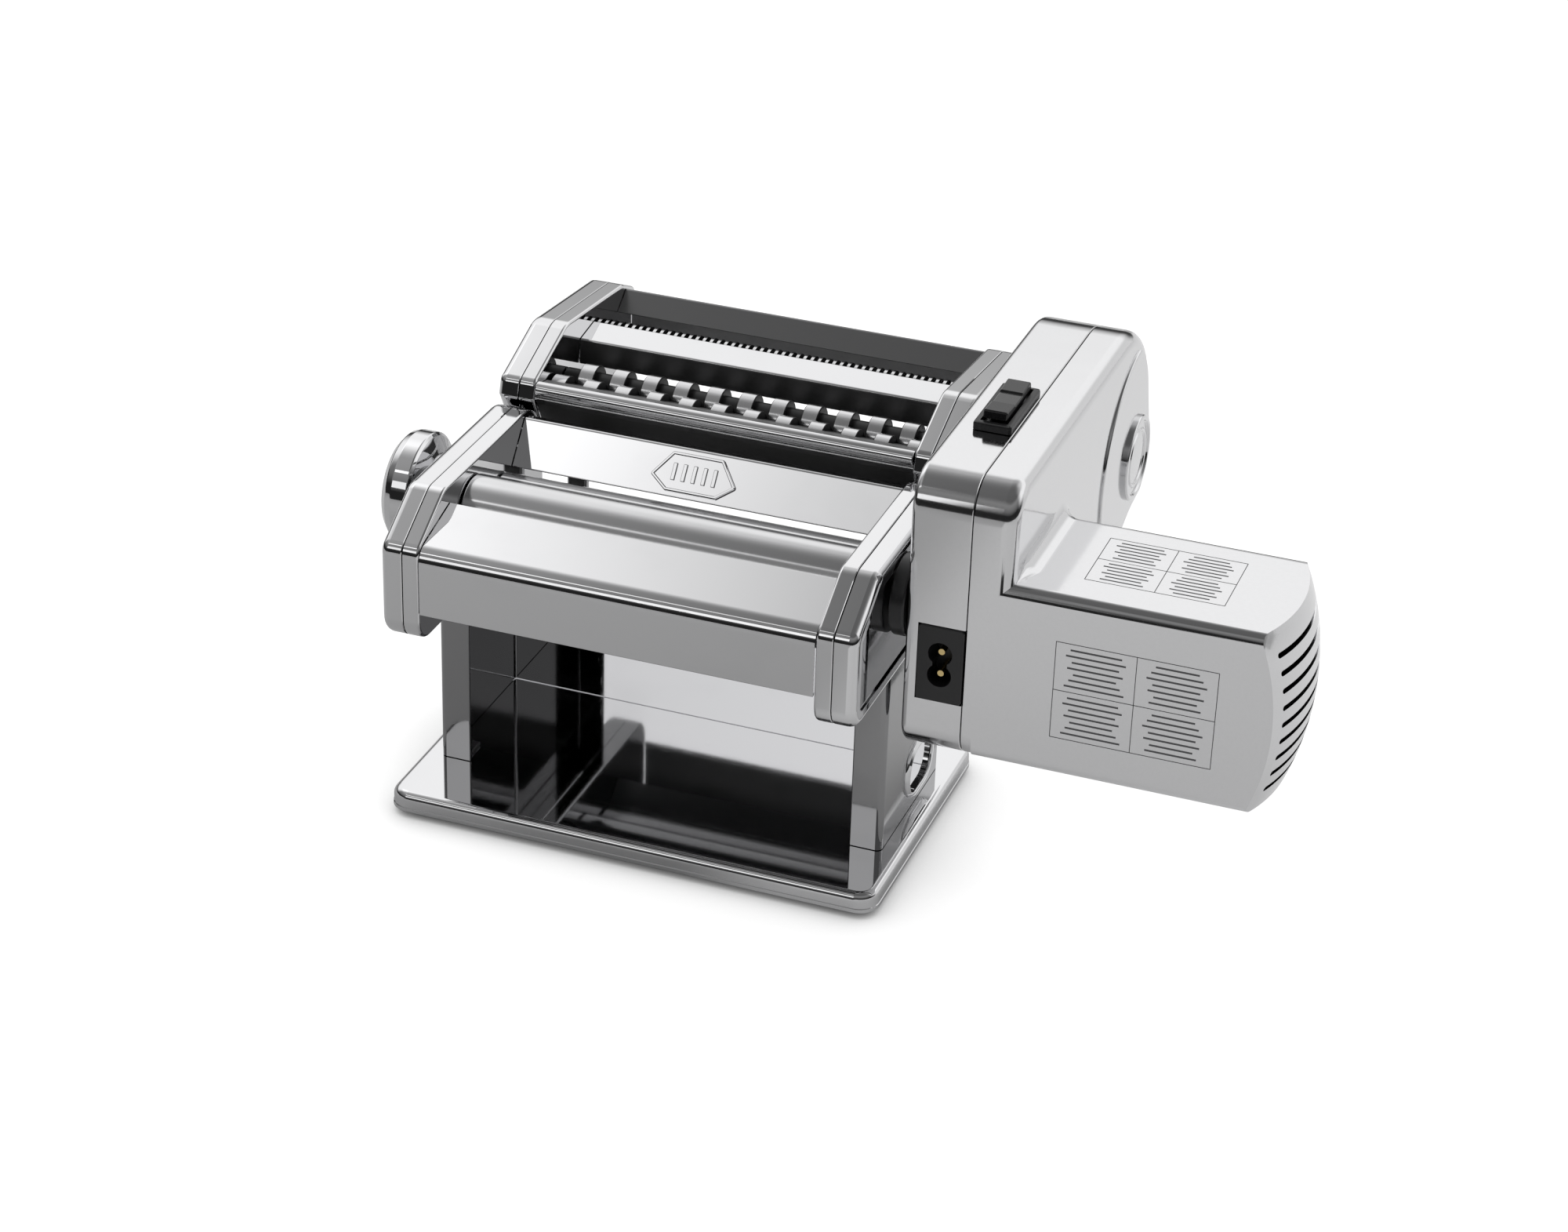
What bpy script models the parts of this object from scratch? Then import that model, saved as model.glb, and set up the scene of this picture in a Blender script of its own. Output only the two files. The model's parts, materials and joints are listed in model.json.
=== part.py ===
"""Electric pasta roller machine: sheet roller, cutter unit and clip-on motor unit.

Sizes are in millimetres in a machine frame: X runs along the rollers towards the
motor with 0 at their middle, Y runs back from the front edge of the base plate,
and Z is up from the surface that the feet stand on. The root empty shifts that
frame so that the world origin lies under the middle of the whole machine.
"""

import math

import bmesh
import bpy
from mathutils import Matrix, Vector

MM = 0.001

# ---------------------------------------------------------------- clearances
GAP = 0.3
RUN_GAP = 0.4
WELD = 0.00001

# ------------------------------------------------------------ overall layout
ROLLER_LENGTH = 151.0
CHEEK_BAND = 6.3
CAP_BAND = 8.6
WALL = 1.5
CHEEK_FLOOR = 4.0
CHEEK_IN = ROLLER_LENGTH / 2
CHEEK_OUT = CHEEK_IN + CHEEK_BAND
CAP_IN = CHEEK_OUT + GAP
CAP_OUT = CAP_IN + CAP_BAND
CAP_FLOOR = CAP_OUT - WALL
SHEET_END = CHEEK_IN - GAP
CAP_EDGE = 1.6

# ---------------------------------------------------------------- base, feet
BASE_HALF = CAP_OUT + 6.2
BASE_DEPTH = 122.0
BASE_TOP = 10.4
BASE_SKIRT_BOTTOM = 2.6
BASE_SHEET = 1.4
BASE_CORNER = 8.0
FOOT_RADIUS = 8.0
FOOT_INSET = 14.0

# --------------------------------------------------------------------- stand
STAND_SHEET = 1.5
STAND_FRONT = 31.5
STAND_BACK = 99.0
STAND_FLANGE = 12.4
STAND_HALF = CAP_OUT - 1.8
STAND_BEND = 2.4
CLAMP_SLOT_FRONT = 60.0
CLAMP_SLOT_LENGTH = 26.0
CLAMP_SLOT_BOTTOM = 17.0
CLAMP_SLOT_HEIGHT = 18.0

# -------------------------------------------------- roller housing, side view
BODY_BOTTOM = 83.5
BODY_TOP = 136.0
BODY_FRONT = -12.7
BODY_SHOULDER = 121.3
BODY_CHAMFER = 11.0
BODY_BACK = 98.5
BODY_BACK_TOP = 91.0

# -------------------------------------------------------------- main rollers
ROLLER_RADIUS = 13.0
JOURNAL_RADIUS = 5.0
ROLLER_Y = 34.0
ROLLER_Z = 117.9
NIP_GAP = 0.6
NIP_OPENING = 4.2
NIP_SLOPE = math.radians(-23.0)
BLOCK_RADIUS = 7.2
GEAR_TEETH = 12
GEAR_TIP = 2.55
GEAR_ROOT = 3.1
GEAR_WIDTH = 5.0
GEAR_START = CHEEK_OUT + 1.2
SHEET = 1.0
GUARD_BOTTOM = 96.0
GUARD_EDGE_Y = 15.0
GUARD_EDGE_Z = 128.4
HOPPER_LOW = (69.6, 118.9)
HOPPER_HIGH = (81.5, 133.6)
SCRAPER_ANGLE = math.radians(25.0)
SCRAPER_LENGTH = 12.0
TIE_ROD_RADIUS = 4.0
TIE_ROD_AT = (88.0, 93.0)
RAIL_HALF_SPAN = CHEEK_IN - 13.5
RAIL_WIDTH = 8.0

# ------------------------------------------------------------ thickness knob
KNOB_AT = (50.0, 113.0)
KNOB_RADIUS = 22.0
KNOB_START = CAP_OUT + 3.3
KNOB_END = KNOB_START + 18.0
KNOB_SHAFT_RADIUS = 5.0
SLEEVE_RADIUS = 8.0
CAM_RADIUS = 7.0
CAM_OFFSET = 1.6

# --------------------------------------------------------------- cutter unit
CUTTER_Z = 133.0
WIDE_Y = 107.3
WIDE_OUTER = 8.0
WIDE_INNER = 5.2
WIDE_PITCH = 13.0
FINE_Y = 153.3
FINE_OUTER = 7.0
FINE_INNER = 4.4
CUTTER_JOURNAL = 3.5
CUTTER_DRIVE_RADIUS = 4.5
CUTTER_GEAR_TEETH = 10
TUBE_RADIUS = 3.0
TUBE_AT = (92.8, 141.2)
CUTTER_BOTTOM = 98.0
CUTTER_BACK = 190.5

# ---------------------------------------------------------------- motor unit
SHELL_LEFT = CAP_OUT + 6.2
SHELL_SEAM = SHELL_LEFT + 22.5
SHELL_RIGHT = SHELL_SEAM + 15.8
SHELL_WALL = 2.2
SHELL_FRONT = 21.0
SHELL_TOP = 171.0
SHELL_BOTTOM = 62.0
SHELL_ARC_STEPS = 6
MOTOR_BACK = 87.0
MOTOR_TOP = 135.0
MOTOR_BOTTOM = 64.0
MOTOR_BULGE = (60.0, 71.0, 78.0)
VENT_COUNT = 9
VENT_PITCH = 6.6
VENT_HEIGHT = 2.0
ROTOR_RADIUS = 18.0
CAN_RADIUS = 27.0
CAN_START = SHELL_RIGHT + 6.8
CAN_END = CAN_START + 64.0
MOTOR_SEAM = CAN_END + 6.0
MOTOR_TIP = MOTOR_SEAM + 25.0
OUTPUT_PITCH = 7.5
IDLER_SMALL = 6.25
IDLER_LARGE = 17.0
PINION_PITCH = 4.5
TRAIN_FIRST = SHELL_LEFT + 6.1
TRAIN_SECOND = TRAIN_FIRST + 9.0
TRAIN_WIDTH = 5.0
MOTOR_AXIS = (54.0, 103.3)
SPINDLE_RADIUS = 6.0
COLLAR_RADIUS = 15.0

# ----------------------------------------------------------- inlet and switch
INLET_LEFT = SHELL_LEFT + 5.1
INLET_LOW = 84.7
INLET_HIGH = 114.6
INLET_PROUD = 0.6
INLET_DEPTH = 12.0
INLET_LOBE = 4.4
INLET_PIN_SPAN = 8.6
INLET_PIN_RADIUS = 1.2
SWITCH_LEFT = SHELL_LEFT + 7.6
SWITCH_RIGHT = SHELL_SEAM - 0.5
SWITCH_FRONT = 64.5
SWITCH_BACK = 101.0
SWITCH_RIM = 2.4
SWITCH_HEIGHT = 3.0
BADGE_AT = (SHELL_SEAM + 63.1, 114.0)
BADGE_RADIUS = 17.0

# ------------------------------------------------ outlines (y, z, corner radius)
BODY_CORNERS = (
    (BODY_FRONT, BODY_BOTTOM, 9.0),
    (BODY_FRONT, BODY_SHOULDER, 6.0),
    (BODY_CHAMFER, BODY_TOP, 9.0),
    (BODY_BACK_TOP, BODY_TOP, 12.0),
    (BODY_BACK, 110.0, 8.0),
    (BODY_BACK, BODY_BOTTOM, 8.0),
)
CUTTER_CORNERS = (
    (89.4, 137.3, 2.0),
    (91.5, 144.4, 4.0),
    (122.0, 156.0, 14.0),
    (178.0, 150.6, 6.0),
    (CUTTER_BACK, 145.0, 4.0),
    (CUTTER_BACK, 112.0, 10.0),
    (180.0, CUTTER_BOTTOM, 8.0),
    (108.0, CUTTER_BOTTOM, 8.0),
    (104.0, 112.0, 6.0),
)
GEARBOX_CORNERS = (
    (SHELL_FRONT, SHELL_BOTTOM, 11.0),
    (SHELL_FRONT, SHELL_TOP, 14.0),
    (192.0, SHELL_TOP, 40.0),
    (211.5, 113.0, 30.0),
    (203.0, 88.5, 12.0),
    (184.0, 86.0, 30.0),
    (118.0, SHELL_BOTTOM, 30.0),
)
MOTOR_CORNERS = (
    (SHELL_FRONT, MOTOR_BOTTOM, 5.0),
    (SHELL_FRONT, MOTOR_TOP, 4.5),
    (MOTOR_BACK, MOTOR_TOP, 7.0),
    (MOTOR_BACK, MOTOR_BOTTOM, 7.0),
)


def rounded_outline(corners, segments=3):
    """Replace each (a, b, radius) corner by an arc that touches both sides."""
    points = []
    count = len(corners)
    for index in range(count):
        here = Vector(corners[index][:2])
        before = (Vector(corners[index - 1][:2]) - here).normalized()
        after = (Vector(corners[(index + 1) % count][:2]) - here).normalized()
        radius = corners[index][2]
        if radius <= 0.0:
            points.append((here.x, here.y))
            continue
        half = before.angle(after) / 2
        centre = here + (before + after).normalized() * (radius / math.sin(half))
        start = here + before * (radius / math.tan(half)) - centre
        sweep = math.pi - 2 * half
        turn = 1.0 if before.cross(after) < 0.0 else -1.0
        for step in range(segments + 1):
            angle = turn * sweep * step / segments
            arm = Matrix.Rotation(angle, 2) @ start
            points.append((centre.x + arm.x, centre.y + arm.y))
    return points


# --------------------------------------------------------------- worked out
NIP_DISTANCE = 2 * ROLLER_RADIUS + NIP_GAP
NIP_DIRECTION = (math.cos(NIP_SLOPE), math.sin(NIP_SLOPE))
REAR_Y = ROLLER_Y + NIP_DISTANCE * NIP_DIRECTION[0]
REAR_Z = ROLLER_Z + NIP_DISTANCE * NIP_DIRECTION[1]
WIDE_SPAN = WIDE_OUTER + WIDE_INNER + RUN_GAP
FINE_SPAN = FINE_OUTER + FINE_INNER + RUN_GAP
MACHINE_LEFT = -KNOB_END
MACHINE_FRONT = BODY_FRONT
MACHINE_BACK = max(y for y, _ in rounded_outline(GEARBOX_CORNERS, SHELL_ARC_STEPS))
CENTRE_X = (MACHINE_LEFT + MOTOR_TIP) / 2
CENTRE_Y = (MACHINE_FRONT + MACHINE_BACK) / 2

# ----------------------------------------------------------------- materials
FINISHES = {
    "chrome": ((0.80, 0.80, 0.81), 0.06, 1.0),
    "roller_steel": ((0.62, 0.62, 0.63), 0.25, 1.0),
    "satin_chrome": ((0.72, 0.72, 0.73), 0.18, 1.0),
    "zinc_plate": ((0.45, 0.45, 0.46), 0.40, 1.0),
    "gear_steel": ((0.38, 0.38, 0.39), 0.35, 1.0),
    "bronze": ((0.55, 0.40, 0.20), 0.35, 1.0),
    "black_plastic": ((0.02, 0.02, 0.02), 0.45, 0.0),
    "rubber": ((0.03, 0.03, 0.03), 0.80, 0.0),
    "brass_pin": ((0.75, 0.62, 0.33), 0.25, 1.0),
}

# Each body's joint origin in the machine frame, with its parent body.
BODIES = {
    "front_roller_turn": ("frame", (0.0, ROLLER_Y, ROLLER_Z)),
    "nip_carriage": ("frame", (0.0, REAR_Y, REAR_Z)),
    "rear_roller_turn": ("nip_carriage", (0.0, REAR_Y, REAR_Z)),
    "knob_pull": ("frame", (-CAP_OUT, KNOB_AT[0], KNOB_AT[1])),
    "knob_turn": ("knob_pull", (-CAP_OUT, KNOB_AT[0], KNOB_AT[1])),
    "cutter_unit": ("frame", (0.0, TUBE_AT[0], TUBE_AT[1])),
    "wide_front_turn": ("cutter_unit", (0.0, WIDE_Y, CUTTER_Z)),
    "wide_rear_turn": ("cutter_unit", (0.0, WIDE_Y + WIDE_SPAN, CUTTER_Z)),
    "fine_front_turn": ("cutter_unit", (0.0, FINE_Y, CUTTER_Z)),
    "fine_rear_turn": ("cutter_unit", (0.0, FINE_Y + FINE_SPAN, CUTTER_Z)),
    "output_turn": ("frame", (SHELL_LEFT, ROLLER_Y, ROLLER_Z)),
    "motor_turn": ("frame", (SHELL_SEAM, MOTOR_AXIS[0], MOTOR_AXIS[1])),
    "switch_rock": (
        "frame",
        (
            (SWITCH_LEFT + SWITCH_RIGHT) / 2,
            (SWITCH_FRONT + SWITCH_BACK) / 2,
            SHELL_TOP + GAP + SWITCH_HEIGHT,
        ),
    ),
}


def circle_meet(first, first_radius, second, second_radius):
    """Return the upper point that lies at both distances from the two centres."""
    a = Vector(first)
    b = Vector(second)
    span = (b - a).length
    along = (first_radius ** 2 - second_radius ** 2 + span ** 2) / (2 * span)
    rise = math.sqrt(first_radius ** 2 - along ** 2)
    direction = (b - a) / span
    foot = a + direction * along
    side = Vector((-direction.y, direction.x))
    points = (foot + side * rise, foot - side * rise)
    upper = max(points, key=lambda point: point.y)
    return (upper.x, upper.y)


IDLER_AT = circle_meet(
    (ROLLER_Y, ROLLER_Z),
    OUTPUT_PITCH + IDLER_SMALL,
    MOTOR_AXIS,
    IDLER_LARGE + PINION_PITCH,
)
BODIES["idler_turn"] = ("frame", (SHELL_SEAM, IDLER_AT[0], IDLER_AT[1]))


# ------------------------------------------------------------ scene handling
def clear_scene():
    """Remove every object that the file holds."""
    for item in list(bpy.data.objects):
        bpy.data.objects.remove(item, do_unlink=True)


def new_collection(name):
    """Make a collection under the scene's own."""
    group = bpy.data.collections.new(name)
    bpy.context.scene.collection.children.link(group)
    return group


def finish_material(name):
    """Return the Principled material of that finish, made on first use."""
    known = bpy.data.materials.get(name)
    if known:
        return known
    colour, roughness, metallic = FINISHES[name]
    material = bpy.data.materials.new(name)
    material.use_nodes = True
    shader = material.node_tree.nodes["Principled BSDF"]
    shader.inputs["Base Color"].default_value = (*colour, 1.0)
    shader.inputs["Roughness"].default_value = roughness
    shader.inputs["Metallic"].default_value = metallic
    return material


class Assembly:
    """The machine's collections, its body empties and its pieces."""

    def __init__(self):
        self.parts = new_collection("pasta_roller_machine")
        self.cutters = new_collection("cutters")
        self.origins = {"frame": Vector((0.0, 0.0, 0.0))}
        self.empties = {}
        self.add_empty("frame", None, (0.0, 0.0, 0.0))
        self.empties["frame"].location = Vector((-CENTRE_X, -CENTRE_Y, 0.0)) * MM
        for name, (parent, origin) in BODIES.items():
            self.add_empty(name, parent, origin)

    def add_empty(self, name, parent, origin):
        """Add a body's empty at its joint's origin."""
        empty = bpy.data.objects.new("body_" + name, None)
        empty.empty_display_size = 0.01
        self.parts.objects.link(empty)
        self.origins[name] = Vector(origin)
        if parent:
            empty.parent = self.empties[parent]
            empty.location = (Vector(origin) - self.origins[parent]) * MM
        self.empties[name] = empty

    def add_piece(self, shape, name, finish, body="frame"):
        """Name a shape, give it its finish and hang it on its body."""
        shape.name = name
        shape.data.name = name
        shape.data.materials.clear()
        shape.data.materials.append(finish_material(finish))
        move_mesh(shape, Matrix.Translation(-self.origins[body] * MM))
        self.parts.objects.link(shape)
        shape.parent = self.empties[body]
        for modifier in shape.modifiers:
            if modifier.type == "BOOLEAN":
                modifier.object.location = self.empties["frame"].location
        return shape

    def cut(self, shape, tool, operation="DIFFERENCE"):
        """Cut, join or trim a shape with a tool that stays beside it."""
        self.keep_tool(tool)
        modifier = shape.modifiers.new(operation.lower(), "BOOLEAN")
        modifier.operation = operation
        modifier.object = tool
        return shape

    def keep_tool(self, tool):
        """Put a cutter with the other cutters, out of sight."""
        tool.name = "tool_%03d" % len(self.cutters.objects)
        self.cutters.objects.link(tool)
        tool.hide_render = True
        tool.display_type = "WIRE"
        for modifier in tool.modifiers:
            if modifier.type == "BOOLEAN":
                modifier.object.location = self.empties["frame"].location


# ------------------------------------------------------------- shape helpers
def move_mesh(shape, matrix):
    """Move a shape's mesh without moving its object."""
    shape.data.transform(matrix)
    shape.data.update()


def mesh_object(bm, name="shape"):
    """Turn a bmesh in millimetres into an object in metres."""
    mesh = bpy.data.meshes.new(name)
    bmesh.ops.scale(bm, vec=(MM, MM, MM), verts=bm.verts)
    bmesh.ops.recalc_face_normals(bm, faces=bm.faces)
    bm.to_mesh(mesh)
    bm.free()
    return bpy.data.objects.new(name, mesh)


def box(low, high, edge=0.0, segments=2):
    """A block between two corners, with rounded edges where edge is given."""
    bm = bmesh.new()
    size = Vector(high) - Vector(low)
    bmesh.ops.create_cube(bm, size=1.0)
    bmesh.ops.scale(bm, vec=size, verts=bm.verts)
    bmesh.ops.translate(bm, vec=(Vector(high) + Vector(low)) / 2, verts=bm.verts)
    shape = mesh_object(bm)
    if edge > 0.0:
        round_edges(shape, edge, segments)
    return shape


def round_edges(shape, width, segments=2):
    """Round a shape's sharp edges."""
    modifier = shape.modifiers.new("rounded", "BEVEL")
    modifier.width = width * MM
    modifier.segments = segments
    modifier.limit_method = "ANGLE"
    modifier.angle_limit = math.radians(50.0)
    return shape


def round_rim(shape, x, width, segments=2):
    """Round the edges of a plate's face that lies at one X."""
    bm = bmesh.new()
    bm.from_mesh(shape.data)
    place = x * MM
    edges = [
        edge for edge in bm.edges
        if all(abs(vert.co.x - place) < WELD for vert in edge.verts)
        and edge.calc_face_angle(0.0) > math.radians(50.0)
    ]
    bmesh.ops.bevel(
        bm, geom=edges, offset=width * MM, segments=segments, profile=0.5,
        affect="EDGES", clamp_overlap=True,
    )
    bm.to_mesh(shape.data)
    bm.free()
    return shape


def axis_cylinder(axis, start, end, centre, radius, sides=24):
    """A cylinder along X, Y or Z between two places on that axis."""
    bm = bmesh.new()
    bmesh.ops.create_cone(
        bm, cap_ends=True, segments=sides, radius1=radius, radius2=radius, depth=end - start
    )
    turn = {
        "X": Matrix.Rotation(math.radians(90.0), 4, "Y"),
        "Y": Matrix.Rotation(math.radians(-90.0), 4, "X"),
        "Z": Matrix.Identity(4),
    }[axis]
    bmesh.ops.transform(bm, matrix=turn, verts=bm.verts)
    middle = (start + end) / 2
    place = {
        "X": (middle, centre[0], centre[1]),
        "Y": (centre[0], middle, centre[1]),
        "Z": (centre[0], centre[1], middle),
    }[axis]
    bmesh.ops.translate(bm, vec=place, verts=bm.verts)
    return mesh_object(bm)


def inset_corners(corners, wall):
    """Move every side of a convex outline inwards by a wall's thickness."""
    count = len(corners)
    middle = sum((Vector(corner[:2]) for corner in corners), Vector((0.0, 0.0))) / count
    lines = []
    for index in range(count):
        a = Vector(corners[index][:2])
        b = Vector(corners[(index + 1) % count][:2])
        normal = Vector((-(b - a).y, (b - a).x)).normalized()
        if normal.dot(middle - a) < 0.0:
            normal = -normal
        lines.append((a + normal * wall, b - a))
    inner = []
    for index in range(count):
        p, d = lines[index - 1]
        q, e = lines[index]
        share = (q - p).cross(e) / d.cross(e)
        meet = p + d * share
        inner.append((meet.x, meet.y, max(corners[index][2] - wall, 0.6)))
    return inner


def flat_plate(outline, plane, start, end):
    """A plate of that flat outline; plane YZ is extruded along X, XY along Z."""
    curve = bpy.data.curves.new("outline", "CURVE")
    curve.dimensions = "2D"
    curve.fill_mode = "BOTH"
    curve.extrude = (end - start) * MM / 2
    spline = curve.splines.new("POLY")
    spline.points.add(len(outline) - 1)
    for point, (a, b) in zip(spline.points, outline):
        point.co = (a * MM, b * MM, 0.0, 1.0)
    spline.use_cyclic_u = True
    holder = bpy.data.objects.new("outline", curve)
    bpy.context.scene.collection.objects.link(holder)
    bpy.context.view_layer.update()
    evaluated = holder.evaluated_get(bpy.context.evaluated_depsgraph_get())
    mesh = bpy.data.meshes.new_from_object(evaluated)
    bpy.data.objects.remove(holder, do_unlink=True)
    bpy.data.curves.remove(curve)
    bm = bmesh.new()
    bm.from_mesh(mesh)
    bmesh.ops.remove_doubles(bm, verts=bm.verts, dist=WELD)
    if plane == "YZ":
        axes = Matrix(((0, 0, 1, 0), (1, 0, 0, 0), (0, 1, 0, 0), (0, 0, 0, 1)))
        shift = Vector(((start + end) / 2, 0.0, 0.0)) * MM
    elif plane == "XZ":
        axes = Matrix(((1, 0, 0, 0), (0, 0, 1, 0), (0, 1, 0, 0), (0, 0, 0, 1)))
        shift = Vector((0.0, (start + end) / 2, 0.0)) * MM
    else:
        axes = Matrix.Identity(4)
        shift = Vector((0.0, 0.0, (start + end) / 2)) * MM
    bmesh.ops.transform(bm, matrix=Matrix.Translation(shift) @ axes, verts=bm.verts)
    bmesh.ops.recalc_face_normals(bm, faces=bm.faces)
    bm.to_mesh(mesh)
    bm.free()
    return bpy.data.objects.new("plate", mesh)


def sheet_strip(path, start, end, thickness=SHEET, bend=0.0):
    """A bent sheet whose side view in YZ is a path, from X start to X end."""
    left = []
    right = []
    count = len(path)
    for index in range(count):
        here = Vector(path[index])
        sides = []
        if index > 0:
            sides.append((here - Vector(path[index - 1])).normalized())
        if index < count - 1:
            sides.append((Vector(path[index + 1]) - here).normalized())
        along = sum(sides, Vector((0.0, 0.0))).normalized()
        normal = Vector((-along.y, along.x))
        reach = thickness / 2 / max(along.dot(sides[0]), 0.3)
        ends = bend if 0 < index < count - 1 else 0.0
        left.append((*(here + normal * reach), ends))
        right.append((*(here - normal * reach), ends))
    outline = rounded_outline(left + right[::-1], 3)
    return flat_plate(outline, "YZ", start, end)


def turned(profile, centre, sides=24):
    """A shape turned about an X axis from (radius, x) points, largest x first."""
    bm = bmesh.new()
    points = [bm.verts.new((radius * MM, 0.0, along * MM)) for radius, along in profile]
    for first, second in zip(points, points[1:]):
        bm.edges.new((first, second))
    if profile[0][0] > 0.0:
        bm.edges.new((points[-1], points[0]))
    mesh = bpy.data.meshes.new("turned")
    bm.to_mesh(mesh)
    bm.free()
    holder = bpy.data.objects.new("turned", mesh)
    screw = holder.modifiers.new("turned", "SCREW")
    screw.steps = sides
    screw.render_steps = sides
    screw.use_merge_vertices = True
    screw.merge_threshold = WELD
    bpy.context.scene.collection.objects.link(holder)
    bpy.context.view_layer.update()
    evaluated = holder.evaluated_get(bpy.context.evaluated_depsgraph_get())
    mesh = bpy.data.meshes.new_from_object(evaluated)
    bpy.data.objects.remove(holder, do_unlink=True)
    shape = bpy.data.objects.new("turned", mesh)
    place = Matrix.Translation(Vector((0.0, centre[0], centre[1])) * MM)
    move_mesh(shape, place @ Matrix.Rotation(math.radians(90.0), 4, "Y"))
    bm = bmesh.new()
    bm.from_mesh(mesh)
    bmesh.ops.remove_doubles(bm, verts=bm.verts, dist=WELD)
    bmesh.ops.recalc_face_normals(bm, faces=bm.faces)
    bm.to_mesh(mesh)
    bm.free()
    mesh.shade_smooth()
    mesh.set_sharp_from_angle(angle=math.radians(35.0))
    return shape


def gear_outline(centre, tip, root, teeth, phase):
    """A toothed outline; phase turns the gear by a share of one tooth."""
    step = 2 * math.pi / teeth
    shares = ((root, -0.30), (tip, -0.085), (tip, 0.085), (root, 0.30))
    points = []
    for tooth in range(teeth):
        for reach, share in shares:
            angle = (tooth + phase + share) * step
            points.append(
                (centre[0] + reach * math.cos(angle), centre[1] + reach * math.sin(angle))
            )
    return points


def gear(centre, pitch, teeth, start, end, bore, lead, phase, tip=1.0, root=1.25):
    """A spur gear with a bore; lead is the angle at which phase 0 has a tooth."""
    outline = gear_outline((0.0, 0.0), pitch + tip, pitch - root, teeth, phase)
    turned_outline = []
    for a, b in outline:
        turned_outline.append(
            (
                centre[0] + a * math.cos(lead) - b * math.sin(lead),
                centre[1] + a * math.sin(lead) + b * math.cos(lead),
            )
        )
    shape = flat_plate(turned_outline, "YZ", start, end)
    if bore > 0.0:
        tool = axis_cylinder("X", start - 1.0, end + 1.0, centre, bore, 16)
        ASSEMBLY.cut(shape, tool)
    return shape


# ------------------------------------------------------------- base and stand
def base_corners(inset):
    """The base plate's outline, inset by a wall's thickness."""
    half = BASE_HALF - inset
    radius = BASE_CORNER - inset
    return (
        (-half, inset, radius),
        (half, inset, radius),
        (half, BASE_DEPTH - inset, radius),
        (-half, BASE_DEPTH - inset, radius),
    )


def build_base():
    """The pressed base plate with its skirt, and four rubber feet under it."""
    plate = flat_plate(rounded_outline(base_corners(0.0), 5), "XY", BASE_SKIRT_BOTTOM, BASE_TOP)
    hollow = flat_plate(
        rounded_outline(base_corners(BASE_SHEET), 5),
        "XY",
        BASE_SKIRT_BOTTOM - 1.0,
        BASE_TOP - BASE_SHEET,
    )
    ASSEMBLY.cut(plate, hollow)
    ASSEMBLY.add_piece(plate, "base_plate", "chrome")
    for side, sign in (("left", -1.0), ("right", 1.0)):
        for end, y in (("front", FOOT_INSET), ("rear", BASE_DEPTH - FOOT_INSET)):
            x = sign * (BASE_HALF - FOOT_INSET)
            foot = axis_cylinder(
                "Z", 0.0, BASE_TOP - BASE_SHEET - GAP, (x, y), FOOT_RADIUS, 24
            )
            ASSEMBLY.add_piece(foot, "foot_%s_%s" % (end, side), "rubber")


def build_stand():
    """The bent stand: front flanges, two walls and a back, with the clamp slot."""
    inner = STAND_HALF - STAND_SHEET
    corners = (
        (STAND_HALF - STAND_FLANGE, STAND_FRONT, 0.0),
        (STAND_HALF, STAND_FRONT, STAND_BEND),
        (STAND_HALF, STAND_BACK, STAND_BEND),
        (-STAND_HALF, STAND_BACK, STAND_BEND),
        (-STAND_HALF, STAND_FRONT, STAND_BEND),
        (STAND_FLANGE - STAND_HALF, STAND_FRONT, 0.0),
        (STAND_FLANGE - STAND_HALF, STAND_FRONT + STAND_SHEET, 0.0),
        (-inner, STAND_FRONT + STAND_SHEET, STAND_BEND - STAND_SHEET),
        (-inner, STAND_BACK - STAND_SHEET, STAND_BEND - STAND_SHEET),
        (inner, STAND_BACK - STAND_SHEET, STAND_BEND - STAND_SHEET),
        (inner, STAND_FRONT + STAND_SHEET, STAND_BEND - STAND_SHEET),
        (STAND_HALF - STAND_FLANGE, STAND_FRONT + STAND_SHEET, 0.0),
    )
    stand = flat_plate(
        rounded_outline(corners, 3), "XY", BASE_TOP + GAP, BODY_BOTTOM - GAP
    )
    radius = CLAMP_SLOT_HEIGHT / 2 - 0.5
    low = CLAMP_SLOT_BOTTOM
    front = CLAMP_SLOT_FRONT
    slot = rounded_outline(
        (
            (front, low, radius),
            (front + CLAMP_SLOT_LENGTH, low, radius),
            (front + CLAMP_SLOT_LENGTH, low + CLAMP_SLOT_HEIGHT, radius),
            (front, low + CLAMP_SLOT_HEIGHT, radius),
        )
    )
    ASSEMBLY.cut(stand, flat_plate(slot, "YZ", STAND_HALF - 5.0, STAND_HALF + 5.0))
    ASSEMBLY.add_piece(stand, "stand_frame", "chrome")


# ------------------------------------------------------------- roller housing
def band(corners, sign, start, end, floor_start, floor_end, edge):
    """A dished side plate: a floor with a wall round it, open on its other side."""
    low, high = sorted((sign * start, sign * end))
    plate = flat_plate(rounded_outline(corners), "YZ", low, high)
    if edge > 0.0:
        round_rim(plate, sign * end, edge)
    if floor_start == start:
        hollow_from, hollow_to = floor_end, end + 5.0
    else:
        hollow_from, hollow_to = start - 5.0, floor_start
    low, high = sorted((sign * hollow_from, sign * hollow_to))
    hollow = flat_plate(rounded_outline(inset_corners(corners, WALL)), "YZ", low, high)
    ASSEMBLY.cut(plate, hollow)
    return plate


def bore(shape, sign, start, end, centre, radius, sides=20):
    """Drill a hole along X through a left or right side piece."""
    low, high = sorted((sign * start, sign * end))
    ASSEMBLY.cut(shape, axis_cylinder("X", low, high, centre, radius, sides))


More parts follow.
